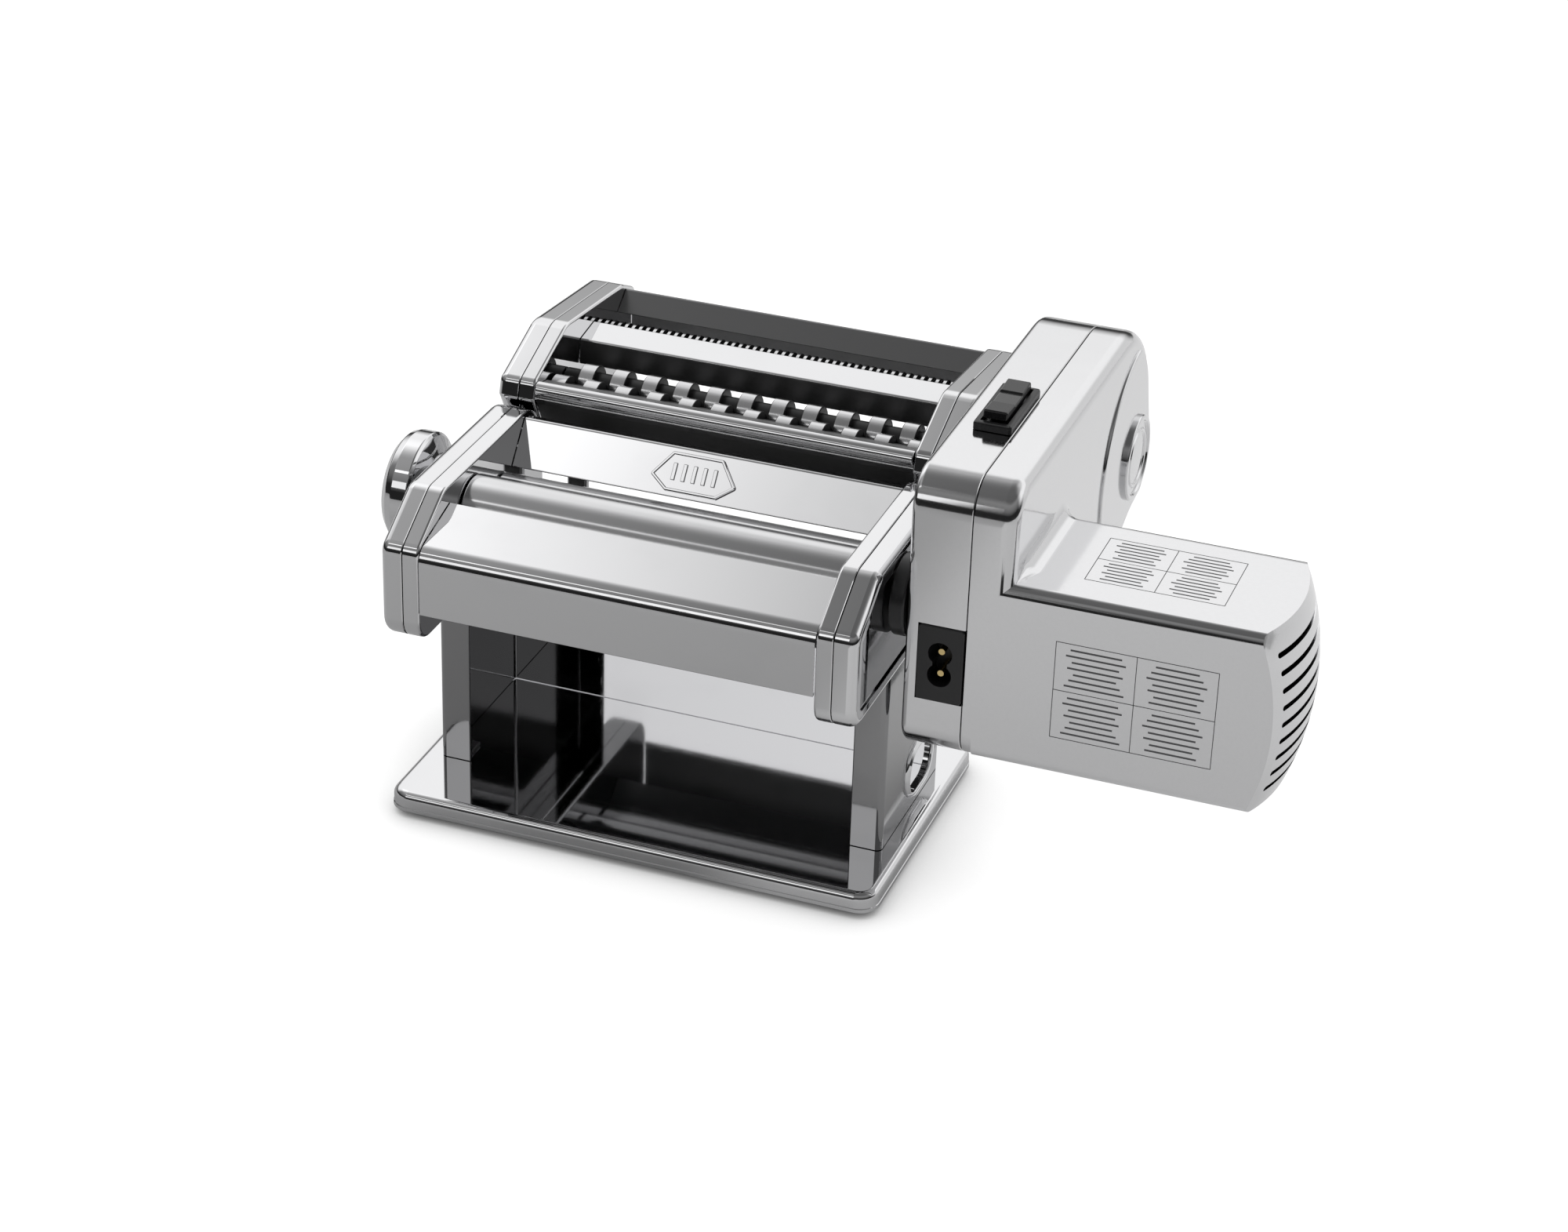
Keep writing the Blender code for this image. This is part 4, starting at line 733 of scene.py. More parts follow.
@dataclass
class Workshop:
    """Holds the tools, dresses finished pieces and counts them."""

    datum: Datum
    repeat: RepeatTree = field(default_factory=RepeatTree)
    groups: dict[Effect, ShaderGroup] = field(default_factory=dict)
    materials: dict[str, bpy.types.Material] = field(default_factory=dict)
    made: list[str] = field(default_factory=list)

    def __post_init__(self) -> None:
        """Build the shader groups and every finish."""
        self.groups = {
            Effect.HANDLING: handling_group(), Effect.CASTING: casting_group(),
            Effect.TURNING: turning_group(), Effect.GRAIN: grain_group(),
        }
        for name, finish in FINISHES.items():
            self.materials[name] = finish.build(name, self.groups)

    def copies(
        self, shape: bmesh.types.BMesh, count: int, finish: str,
        start: Sequence[float], step: Sequence[float],
    ) -> bmesh.types.BMesh:
        """Copy a shape along a line in a named finish and return the copies as one mesh."""
        return self.repeat.run(shape, count, self.materials[finish], start, step)

    def finish(
        self,
        bm: bmesh.types.BMesh,
        name: str,
        finish: str,
        body: str = "frame",
        replaces: Sequence[str] = (),
        cuts: Sequence[bmesh.types.BMesh] = (),
        adds: Sequence[bmesh.types.BMesh] = (),
        keeps: Sequence[bmesh.types.BMesh] = (),
        soften: float = 0.0,
        sharp: float = 38.0,
        second: tuple[str, Callable[[Vector, Vector], bool]] | None = None,
    ) -> bpy.types.Object:
        """Turn a mesh into a finished piece that rides on its body.

        Args:
            bm: The mesh, in the machine frame.
            name: The piece's name.
            finish: The name of its finish.
            body: The body it moves with.
            replaces: The CAD nodes it stands for.
            cuts: Solids taken away from it.
            adds: Solids joined to it, before the cuts.
            keeps: Solids that it is trimmed to, before the cuts.
            soften: The width of a bevel on its sharp edges.
            sharp: The angle above which an edge stays sharp, in degrees.
            second: Another finish, and a test of a face's middle and normal that says
                where it goes.

        Returns:
            The piece.
        """
        piece = new_piece(bm, name)
        tools = []
        for operation, group in (("UNION", adds), ("INTERSECT", keeps), ("DIFFERENCE", cuts)):
            for tool in group:
                tools.append(new_piece(tool, "tool"))
                modifier = piece.modifiers.new("cut", "BOOLEAN")
                modifier.operation, modifier.object = operation, tools[-1]
        if soften > 0.0:
            modifier = piece.modifiers.new("soften", "BEVEL")
            modifier.width, modifier.segments = soften, 3
            modifier.limit_method, modifier.angle_limit = "ANGLE", math.radians(sharp)
        if tools or soften > 0.0:
            bake(piece)
        for tool in tools:
            bpy.data.objects.remove(tool)
        piece.data.shade_smooth()
        piece.data.set_sharp_from_angle(angle=math.radians(sharp))
        weigh = piece.modifiers.new("weigh", "WEIGHTED_NORMAL")
        weigh.keep_sharp = True
        weigh.weight = 100
        bake(piece)
        piece.data.materials.clear()
        piece.data.materials.append(self.materials[finish])
        for face in piece.data.polygons:
            face.material_index = 0
        if second is not None:
            piece.data.materials.append(self.materials[second[0]])
            for face in piece.data.polygons:
                face.material_index = int(second[1](face.center, face.normal))
        piece.data.transform(self.datum.to_world())
        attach(piece, body)
        if replaces:
            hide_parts(*replaces)
        self.made.append(name)
        LOG.info("%s: %d faces, %s, on %s", name, len(piece.data.polygons), finish, body)
        return piece


def moved(bm: bmesh.types.BMesh, matrix: Matrix) -> bmesh.types.BMesh:
    """Move a mesh and return it."""
    bmesh.ops.transform(bm, matrix=matrix, verts=bm.verts)
    return bm


def merged(meshes: Iterable[bmesh.types.BMesh]) -> bmesh.types.BMesh:
    """Put meshes side by side in one."""
    whole = bmesh.new()
    for bm in meshes:
        part = bpy.data.meshes.new("part")
        bm.to_mesh(part)
        bm.free()
        whole.from_mesh(part)
        bpy.data.meshes.remove(part)
    return whole


# --------------------------------------------------------------------- base and stand
@dataclass
class BaseAssembly:
    """The pressed base plate on its four rubber feet."""

    shop: Workshop
    corner: float = 8.0
    rim: float = 3.4
    sheet: float = 1.4
    foot_radius: float = 8.0
    foot_inset: float = 14.0

    def build(self) -> None:
        """Build the plate and the feet."""
        size = self.shop.datum.box("base_plate")
        low, high = size.low, size.high
        corners = (
            (low.x, low.y, self.corner),
            (high.x, low.y, self.corner),
            (high.x, high.y, self.corner),
            (low.x, high.y, self.corner),
        )
        stations = [
            (self.sheet + 2.4, high.z - self.sheet),
            (self.sheet + 0.7, high.z - self.sheet - 0.7),
            (self.sheet, high.z - self.sheet - 2.4),
            (self.sheet, low.z + 0.3),
            (self.sheet - 0.3, low.z),
            (0.3, low.z),
            (0.0, low.z + 0.3),
            (0.0, low.z + 1.7),
            (0.25, low.z + 2.0),
            (0.25, low.z + 2.4),
        ]
        stations += quarter(0.25, self.rim - 0.25, high.z - self.rim + 0.25, 1, 8)
        plate = outline_block(corners, Plane.XY, stations, 10)
        self.shop.finish(plate, "pressed_base", "chrome", replaces=("base_plate",))
        self.build_feet(low, high)

    def build_feet(self, low: Vector, high: Vector) -> None:
        """Build the four feet.

        Args:
            low: The plate's lowest corner.
            high: The plate's highest corner.
        """
        top = self.shop.datum.box("foot_front_left").high.z
        wide = self.foot_radius
        profile = ((0, 0, 0), (0, wide - 1.2, 0.8), (1.4, wide, 0.5), (top, wide - 0.5, 0.2), (top, 0, 0))
        rows = []
        for y in (low.y + self.foot_inset, high.y - self.foot_inset):
            foot = turned(profile, (0, 0), 40)
            moved(foot, Matrix.Rotation(math.radians(-90.0), 4, "Y"))
            start = (low.x + self.foot_inset, y, 0)
            step = (high.x - low.x - 2 * self.foot_inset, 0, 0)
            rows.append(self.shop.copies(foot, 2, "rubber", start, step))
        nodes = [f"foot_{end}_{side}" for end in ("front", "rear") for side in ("left", "right")]
        self.shop.finish(merged(rows), "rubber_feet", "rubber", replaces=nodes)


@dataclass
class Stand:
    """The bent stand between base and rollers, with its clamp slot and fixings."""

    shop: Workshop
    sheet: float = 1.5
    flange: float = 12.4
    bend: float = 1.65
    slot_radius: float = 8.5
    slot_low: tuple[float, float] = (60.0, 17.0)
    slot_high: tuple[float, float] = (86.0, 35.0)
    bracket: tuple[float, float, float] = (9.0, 11.0, 7.0)
    shaded_width: float = 13.0
    shaded_back: float = 1.6

    def build(self) -> None:
        """Build the sheet, the slot's rim, the foot brackets and the screws."""
        size = self.shop.datum.box("stand_frame")
        half = self.sheet / 2
        left, right = size.low.x + half, size.high.x - half
        front, back = size.low.y + half, size.high.y - half
        path = (
            (size.high.x - self.flange, front), (right, front), (right, back),
            (left, back), (left, front), (size.low.x + self.flange, front),
        )
        outline = sheet_outline(path, self.sheet, self.bend)
        sheet = outline_block(outline, Plane.XY, ((0, size.low.z), (0, size.high.z)), 7)
        face = size.high.x
        inside, behind = face - self.shaded_width, back - self.shaded_back
        self.shop.finish(
            sheet, "bent_stand", "chrome", replaces=("stand_frame",),
            cuts=(self.slot_tool(face - 5, face + 5),),
            second=("chrome_shaded", lambda middle, _: abs(middle.x) > inside and middle.y < behind),
        )
        self.build_slot_rim(face)
        self.build_brackets(size)

    def slot_corners(self) -> tuple[Corner, ...]:
        """Return the slot's outline in Y and Z."""
        (y0, z0), (y1, z1), radius = self.slot_low, self.slot_high, self.slot_radius
        return ((y0, z0, radius), (y1, z0, radius), (y1, z1, radius), (y0, z1, radius))

    def slot_tool(self, start: float, end: float) -> bmesh.types.BMesh:
        """Return a cutter for the slot."""
        return outline_block(self.slot_corners(), Plane.YZ, ((0, start), (0, end)), 8)

    def build_slot_rim(self, face: float) -> None:
        """Build the pressed lip round the slot.

        Args:
            face: X of the stand's right face.
        """
        bm = bmesh.new()
        rings = []
        lip = [(-2.6, face - 0.2), (-2.6, face + 0.1), (-2.2, face + 0.9), (-1.4, face + 1.5),
               (-0.6, face + 1.5), (0.0, face + 1.0), (0.2, face + 0.2), (0.2, face - 1.7),
               (-0.1, face - 1.7), (-0.2, face - 0.2)]
        for wall, along in lip + lip[:1]:
            outline = fillet(inset(self.slot_corners(), wall), 8)
            rings.append([Plane.YZ.lay(p.x, p.y, along) for p in outline])
        loft(bm, rings, capped=False)
        bmesh.ops.remove_doubles(bm, verts=bm.verts, dist=0.0005)
        self.shop.finish(bm, "clamp_slot_lip", "chrome", sharp=60.0)

    def build_brackets(self, size: Box) -> None:
        """Build the small angles that hold the stand to the base, with their screws.

        Args:
            size: The stand's box.
        """
        wide, deep, tall = self.bracket
        floor = self.shop.datum.box("base_plate").high.z
        angles, screws = [], []
        for side in Side:
            inner = size.high.x - self.sheet - 0.1
            low_x, high_x = sorted((side.value * (inner - wide), side.value * inner))
            wall_low, wall_high = sorted((side.value * (inner - 1.4), side.value * inner))
            y = size.low.y + self.sheet + 0.4
            angles.append(block((low_x, y, floor + 0.05), (high_x, y + deep, floor + 1.5), 0.4))
            angles.append(block((wall_low, y, floor + 0.1), (wall_high, y + deep, floor + tall), 0.4))
            centre = (side.value * (inner - wide / 2 - 0.6), y + deep / 2, floor + 1.4)
            screws.append(screw_head(2.2, 1.2, centre))
        self.shop.finish(merged(angles), "stand_brackets", "zinc_plate")
        self.shop.finish(merged(screws), "bracket_screws", "zinc_plate", soften=0.1)


def screw_head(
    radius: float, height: float, place: Sequence[float], along_x: float = 0.0,
) -> bmesh.types.BMesh:
    """Build a pan head with a cross recess.

    Args:
        radius: The head's radius.
        height: Its height.
        place: Where its seat's centre goes.
        along_x: +1 or -1 to face that way along X, or 0 to face up.

    Returns:
        The head.
    """
    low = radius * 0.45
    profile = (
        (0, 0, 0), (0, radius, 0), (height * 0.5, radius, height * 0.4), (height, radius * 0.55, 0.2),
        (height, 0, 0),
    )
    head = turned(profile, (0, 0), 32)
    for turn in (0.0, math.pi / 2):
        bar = block((height * 0.55, -low, -0.22), (height * 0.55 + 0.05, low, 0.22))
        moved(bar, Matrix.Translation((height * 0.46, 0, 0)) @ Matrix.Rotation(turn, 4, "X"))
        part = bpy.data.meshes.new("bar")
        bar.to_mesh(part)
        bar.free()
        head.from_mesh(part)
        bpy.data.meshes.remove(part)
    turn_to = Matrix.Rotation(math.radians(-90.0), 4, "Y") if along_x == 0.0 else Matrix.Identity(4)
    if along_x < 0.0:
        turn_to = Matrix.Rotation(math.pi, 4, "Z")
    return moved(head, Matrix.Translation(place) @ turn_to)


# ---------------------------------------------------------------------- side castings
@dataclass
class SidePair:
    """A dished inner side plate and the dished cap outside it, at both ends."""

    shop: Workshop
    corners: Sequence[Corner]
    body: str
    prefix: str
    nodes: tuple[str, str]
    wall: float = 1.5
    floor: float = 4.0
    edge: float = 3.4
    brim: float = 2.4
    recess: float = 0.7

    def build(
        self,
        plate_bores: dict[Side, list[bmesh.types.BMesh]],
        cap_bores: dict[Side, list[bmesh.types.BMesh]],
    ) -> None:
        """Build both ends.

        Args:
            plate_bores: Cutters for each inner plate.
            cap_bores: Cutters for each cap.
        """
        plate_name, cap_name = self.nodes
        for side in Side:
            node = plate_name % side.word
            near, far = self.reach(node)
            stations = [
                (self.wall, near + self.floor), (self.wall, far - 0.2), (self.wall - 0.2, far),
                (0.25, far), (0.0, far - 0.25), (0.0, near + 1.1),
            ]
            stations += quarter(0.0, 1.1, near + 1.1, -1, 5)
            self.one(side, stations, "%s_plate_%s" % (self.prefix, side.word), node, plate_bores[side])
            node = cap_name % side.word
            near, far = self.reach(node)
            stations = [
                (self.wall, far - self.wall), (self.wall, near + 0.2), (self.wall - 0.2, near),
                (0.25, near), (0.0, near + 0.25), (0.0, far - self.edge),
            ]
            stations += quarter(0.0, self.edge, far - self.edge, 1, 7)
            brim = self.edge + self.brim
            stations += [(brim, far), (brim + 0.35, far - 0.12), (brim + 0.9, far - self.recess)]
            self.one(side, stations, "%s_cap_%s" % (self.prefix, side.word), node, cap_bores[side])

    def reach(self, node: str) -> tuple[float, float]:
        """Return a plate's nearest and furthest distance from the middle."""
        size = self.shop.datum.box(node)
        near, far = sorted((abs(size.low.x), abs(size.high.x)))
        return near, far

    def one(
        self,
        side: Side,
        stations: Sequence[tuple[float, float]],
        name: str,
        node: str,
        cuts: Sequence[bmesh.types.BMesh],
    ) -> None:
        """Build one plate or cap.

        Args:
            side: Which end it is at.
            stations: Its (inset, distance from the middle) pairs.
            name: The piece's name.
            node: The CAD node that it stands for.
            cuts: Its bores.
        """
        placed = [(wall, side.value * along) for wall, along in stations]
        plate = outline_block(self.corners, Plane.YZ, placed, 8)
        self.shop.finish(plate, name, "chrome", self.body, (node,), cuts=cuts)


# -------------------------------------------------------------------- roller housing
@dataclass
class RollerHousing:
    """The sheet roller: sides, guard, hopper panel, emblem and the two rollers."""

    shop: Workshop
    corners: tuple[Corner, ...] = (
        (-12.7, 83.5, 9.0), (-12.7, 121.3, 6.0), (11.0, 136.0, 9.0),
        (91.0, 136.0, 12.0), (98.5, 110.0, 8.0), (98.5, 83.5, 8.0),
    )
    roller_radius: float = 13.0
    journal: float = 5.0
    run_gap: float = 0.4
    nip_slope: float = math.radians(-23.0)
    nip_opening: float = 4.5
    block_bore: float = 7.5
    sheet: float = 1.0
    guard_crease: float = 120.8
    guard_edge: tuple[float, float] = (15.0, 128.4)
    guard_bend: float = 6.5
    hem_radius: float = 0.85
    hopper_low: tuple[float, float] = (69.6, 118.9)
    hopper_high: tuple[float, float] = (81.5, 133.6)
    hopper_bend: float = 0.9
    emblem_x: float = -4.0

    def build(self) -> None:
        """Build the whole roller housing."""
        box = self.shop.datum.box
        front = self.axis("front_roller")
        rear = self.axis("rear_roller")
        knob = self.axis("knob_sleeve")
        plates: dict[Side, list[bmesh.types.BMesh]] = {}
        for side in Side:
            low, high = sorted((side.value * 70.0, side.value * 80.5))
            plates[side] = [drum(low, high, front, self.journal + 0.3), self.travel_slot(rear, low, high)]
        caps = {
            Side.LEFT: [drum(-95.0, -80.0, knob, 8.3)],
            Side.RIGHT: [drum(80.0, 95.0, front, 6.4)],
        }
        pair = SidePair(self.shop, self.corners, "frame", "roller", ("%s_side_plate", "%s_end_cap"))
        pair.build(plates, caps)
        self.build_sheets(box("front_guard"))
        self.build_roller("front_roller", front, "front_roller_turn")
        self.build_roller("rear_roller", rear, "rear_roller_turn")
        self.build_emblem()

    def axis(self, node: str) -> tuple[float, float]:
        """Return the Y and Z of a round node's axis."""
        middle = self.shop.datum.box(node).middle
        return (middle.y, middle.z)

    def travel_slot(self, rear: tuple[float, float], low: float, high: float) -> bmesh.types.BMesh:
        """Build the cutter for the slot that a bearing block moves in.

        Args:
            rear: The rear roller's Y and Z at rest.
            low: Where the cutter starts in X.
            high: Where it ends.

        Returns:
            The cutter.
        """
        radius = self.block_bore
        along = Vector((math.cos(self.nip_slope), math.sin(self.nip_slope)))
        across = Vector((-along.y, along.x))
        near = Vector(rear) - along * 0.3
        far = Vector(rear) + along * self.nip_opening
        corners = (
            (*(near - along * radius - across * radius), radius * 0.99),
            (*(far + along * radius - across * radius), radius * 0.99),
            (*(far + along * radius + across * radius), radius * 0.99),
            (*(near - along * radius + across * radius), radius * 0.99),
        )
        return outline_block(corners, Plane.YZ, ((0, low), (0, high)), 10)

    def build_sheets(self, size: Box) -> None:
        """Build the front guard and the hopper panel.

        Args:
            size: The guard's box.
        """
        front = size.low.y + self.sheet / 2
        path = ((front, size.low.z), (front, self.guard_crease), self.guard_edge)
        guard = self.strip(path, self.guard_bend, size)
        low, high, wide = size.low.x, size.high.x, self.hem_radius
        hem = turned(
            ((low, 0, 0), (low, wide, 0.3), (high, wide, 0.3), (high, 0, 0)),
            (front + 0.35, size.low.z + wide), 20,
        )
        # painted shade: the guard's back and under faces get the near-black chrome
        self.shop.finish(
            guard, "front_guard_sheet", "chrome", replaces=("front_guard",),
            second=("raw_inside", lambda _, normal: normal.y > 0.3 or normal.z < -0.5),
        )
        self.shop.finish(hem, "guard_hem", "chrome")
        path = (self.hopper_low, self.hopper_high, (84.9, 133.2), (85.5, self.hopper_low[1]))
        # painted shade: the hopper sheet's under faces get the near-black chrome
        self.shop.finish(
            self.strip(path, self.hopper_bend, size), "hopper_sheet", "chrome", replaces=("hopper_panel",),
            second=("raw_inside", lambda _, normal: normal.z < -0.3),
        )

    def strip(self, path: Sequence[tuple[float, float]], bend: float, size: Box) -> bmesh.types.BMesh:
        """Return a bent sheet between the side plates."""
        outline = sheet_outline(path, self.sheet, bend)
        return outline_block(outline, Plane.YZ, ((0, size.low.x), (0, size.high.x)), 6)

    def build_roller(self, node: str, axis: tuple[float, float], body: str) -> None:
        """Build a roller barrel with its journals.

        Args:
            node: The CAD node that it stands for.
            axis: The roller's Y and Z.
            body: The body it turns with.
        """
        size = self.shop.datum.box(node)
        face = 75.5 - self.run_gap
        big, small = self.roller_radius, self.journal
        profile = (
            (size.low.x, 0, 0), (size.low.x, small, 0.4), (-face, small, 0), (-face, big, 0.9),
            (face, big, 0.9), (face, small, 0), (size.high.x, small, 0.4), (size.high.x, 0, 0),
        )
        self.shop.finish(turned(profile, axis, 128), node + "_barrel", "roller_steel", body, (node,))

    def build_emblem(self) -> None:
        """Build the plain six-sided badge on the hopper panel."""
        corners = (
            (-10.0, -7.6, 0.8), (10.0, -7.6, 0.8), (17.0, -2.2, 1.0),
            (10.0, 7.6, 0.8), (-10.0, 7.6, 0.8), (-17.0, -2.2, 1.0),
        )
        stations = [(0, 0), (0, 0.7), (0.35, 1.2), (0.9, 1.2), (1.2, 0.6), (1.4, 0.6)]
        plate = outline_block(corners, Plane.XY, stations, 3)
        ridge = block((-0.8, -3.4, 0.3), (0.8, 3.4, 1.1), 0.3)
        ridges = self.shop.copies(ridge, 5, "chrome", (-8.0, 0.0, 0.0), (4.0, 0.0, 0.0))
        (low_y, low_z), (high_y, high_z) = self.hopper_low, self.hopper_high
        slope = math.atan2(high_z - low_z, high_y - low_y)
        lift = self.sheet / 2 + 0.1
        middle_y, middle_z = (low_y + high_y) / 2, (low_z + high_z) / 2
        place = Vector(
            (self.emblem_x, middle_y - math.sin(slope) * lift, middle_z + math.cos(slope) * lift)
        )
        badge = moved(merged((plate, ridges)), Matrix.Translation(place) @ Matrix.Rotation(slope, 4, "X"))
        self.shop.finish(badge, "hopper_emblem", "chrome", replaces=("hopper_badge",), sharp=30.0)


@dataclass
class ThicknessKnob:
    """The chrome drum on the left that sets the gap between the rollers."""

    shop: Workshop
    radius: float = 22.0
    neck: float = 14.0

    def build(self) -> None:
        """Build the drum with its neck."""
        size = self.shop.datum.box("thickness_knob")
        axis = (size.middle.y, size.middle.z)
        near, far = size.high.x, size.low.x
        wide = self.radius
        profile = (
            (near, 5.3, 0), (near, self.neck, 0.8), (near - 2.6, self.neck, 1.6),
            (near - 5.6, wide - 1.2, 1.2), (near - 6.6, wide, 0.8),
            (far + 5.4, wide, 1.6), (far + 2.8, wide - 0.9, 2.0), (far, wide - 4.2, 2.6),
            (far, wide - 8.2, 0.8), (far + 1.1, wide - 9.4, 0.8), (far + 1.3, 0, 0),
        )
        bm = turned(profile, axis, 160)
        hole = ((near, 5.3, 0), (far + 4.0, 5.3, 0), (far + 4.0, 0, 0))
        turned(hole, axis, 160, bm)
        bmesh.ops.remove_doubles(bm, verts=bm.verts, dist=0.0005)
        self.shop.finish(bm, "knob_drum", "chrome", "knob_turn", ("thickness_knob",), sharp=32.0)


# ------------------------------------------------------------------------ cutter unit
@dataclass(frozen=True)
class CutterRow:
    """One cutter roller: its rings and where its drive comes out."""

    node: str
    body: str
    outer: float
    inner: float
    pitch: float
    shift: int
    sides: int


@dataclass
class CutterUnit:
    """The rear unit that cuts wide and fine strands."""

    shop: Workshop
    corners: tuple[Corner, ...] = (
        (89.4, 137.3, 2.0), (91.5, 144.4, 4.0), (122.0, 156.0, 14.0), (178.0, 150.6, 6.0),
        (190.5, 145.0, 4.0), (190.5, 112.0, 10.0), (180.0, 98.0, 8.0), (108.0, 98.0, 8.0),
        (104.0, 112.0, 6.0),
    )
    rows: tuple[CutterRow, ...] = (
        CutterRow("wide_cutter_front", "wide_front_turn", 8.0, 5.2, 13.0, 0, 72),
        CutterRow("wide_cutter_rear", "wide_rear_turn", 8.0, 5.2, 13.0, 1, 72),
        CutterRow("fine_cutter_front", "fine_front_turn", 7.0, 4.4, 3.0, 0, 40),
        CutterRow("fine_cutter_rear", "fine_rear_turn", 7.0, 4.4, 3.0, 1, 40),
    )
    journal: float = 3.5
    drive: float = 4.5
    sheet: float = 0.8
    body: str = "cutter_unit"

    def build(self) -> None:
        """Build the sides, sheets and rollers."""
        plates: dict[Side, list[bmesh.types.BMesh]] = {}
        caps: dict[Side, list[bmesh.types.BMesh]] = {}
        for side in Side:
            low, high = sorted((side.value * 70.0, side.value * 80.5))
            plates[side] = [drum(low, high, self.axis(row), self.journal + 0.3, 32) for row in self.rows]
            caps[side] = [
                drum(80.0, 95.0, self.axis(row), self.drive + 0.4, 32)
                for row in self.rows
                if side is Side.RIGHT and self.shop.datum.box(row.node).high.x > 85.0
            ]
        pair = SidePair(
            self.shop, self.corners, self.body, "cutter",
            ("cutter_%s_side_plate", "cutter_%s_end_cap"), edge=3.0, brim=2.0,
        )
        pair.build(plates, caps)
        self.build_sheets()
        for row in self.rows:
            self.build_row(row)

    def axis(self, row: CutterRow) -> tuple[float, float]:
        """Return the Y and Z of a cutter roller's axis."""
        middle = self.shop.datum.box(row.node).middle
        return (middle.y, middle.z)

    def build_sheets(self) -> None:
        """Build the front tube, the apron and the three panels."""
        size = self.shop.datum.box("cutter_front_tube")
        low, high, centre = size.low.x, size.high.x, (size.middle.y, size.middle.z)
        tube = turned(((low, 0, 0), (low, 3.0, 0.4), (high, 3.0, 0.4), (high, 0, 0)), centre, 64)
        self.shop.finish(tube, "front_tube", "chrome", self.body, ("cutter_front_tube",))
        sheets = (
            ("cutter_front_apron", "chrome", 0.6, ((91.6, 138.0), (92.4, 135.6), (101.5, 118.5))),
            ("cutter_front_panel", "grey_steel", 0.0, ((96.7, 141.8), (102.1, 140.6))),
            (
                "cutter_middle_panel", "chrome", 0.9,
                ((133.6, 135.0), (134.5, 144.6), (148.0, 146.6), (149.6, 142.8)),
            ),
            (
                "cutter_rear_panel", "grey_steel", 0.9,
                ((172.4, 141.0), (180.5, 147.6), (186.5, 144.6), (187.0, 114.0)),
            ),
        )
        for node, finish, bend, path in sheets:
            size = self.shop.datum.box(node)
            outline = sheet_outline(path, self.sheet, bend)
            strip = outline_block(outline, Plane.YZ, ((0, size.low.x), (0, size.high.x)), 5)
            # painted shade: under faces, and front faces between Y 130 and 137, get the near-black chrome
            self.shop.finish(
                strip, node + "_sheet", finish, self.body, (node,), second=(
                    "raw_inside",
                    lambda middle, normal: normal.z < -0.3 or (normal.y < -0.8 and 130.0 < middle.y < 137.0),
                ),
            )

    def build_row(self, row: CutterRow) -> None:
        """Build a cutter roller: a core with rings copied along it.

        Args:
            row: The cutter roller.
        """
        size = self.shop.datum.box(row.node)
        axis = self.axis(row)
        face, inner, small = 75.1, row.inner, self.journal
        end = ((size.high.x, small, 0.3), (size.high.x, 0, 0))
        if size.high.x > 85.0:
            end = (
                (81.8, small, 0), (81.8, self.drive, 0.3),
                (size.high.x, self.drive, 0.4), (size.high.x, 0, 0),
            )
        profile = (
            (size.low.x, 0, 0), (size.low.x, small, 0.3), (-face, small, 0), (-face, inner, 0.2),
            (face, inner, 0.2), (face, small, 0), *end,
        )
        core = turned(profile, axis, row.sides)
        half = row.pitch / 2
        count = int(2 * face // half)
        first = count * half / 2
        trim = 0.15 if row.pitch > 6 else 0.05
        start, stop = -half + trim, -trim
        edge = 0.35 if row.pitch > 6 else 0.12
        ring = bmesh.new()
        rings = []
        corners = ((start, inner - 0.6), (start, row.outer - edge), (start + edge, row.outer),
                   (stop - edge, row.outer), (stop, row.outer - edge), (stop, inner - 0.6))
        for x, radius in corners + corners[:1]:
            turns = [2 * math.pi * k / row.sides for k in range(row.sides)]
            rings.append([Vector((x, radius * math.cos(a), radius * math.sin(a))) for a in turns])
        loft(ring, rings, capped=False)
        bmesh.ops.remove_doubles(ring, verts=ring.verts, dist=0.0005)
        bmesh.ops.recalc_face_normals(ring, faces=ring.faces)
        place = first - row.shift * half
        number = (count - row.shift + 1) // 2
        copies = self.shop.copies(ring, number, "cutter_steel", (place, *axis), (-row.pitch, 0, 0))
        line = Vector(axis)
        # painted shade: the core and the rings' side faces get the near-black steel of the shade between the
        # rings
        self.shop.finish(
            merged((core, copies)), row.node + "_rings", "cutter_steel", row.body, (row.node,), sharp=50.0,
            second=("cutter_core", lambda middle, normal: (Vector(middle.yz) - line).length < inner + 0.4
                    or abs(normal.x) > 0.7),
        )


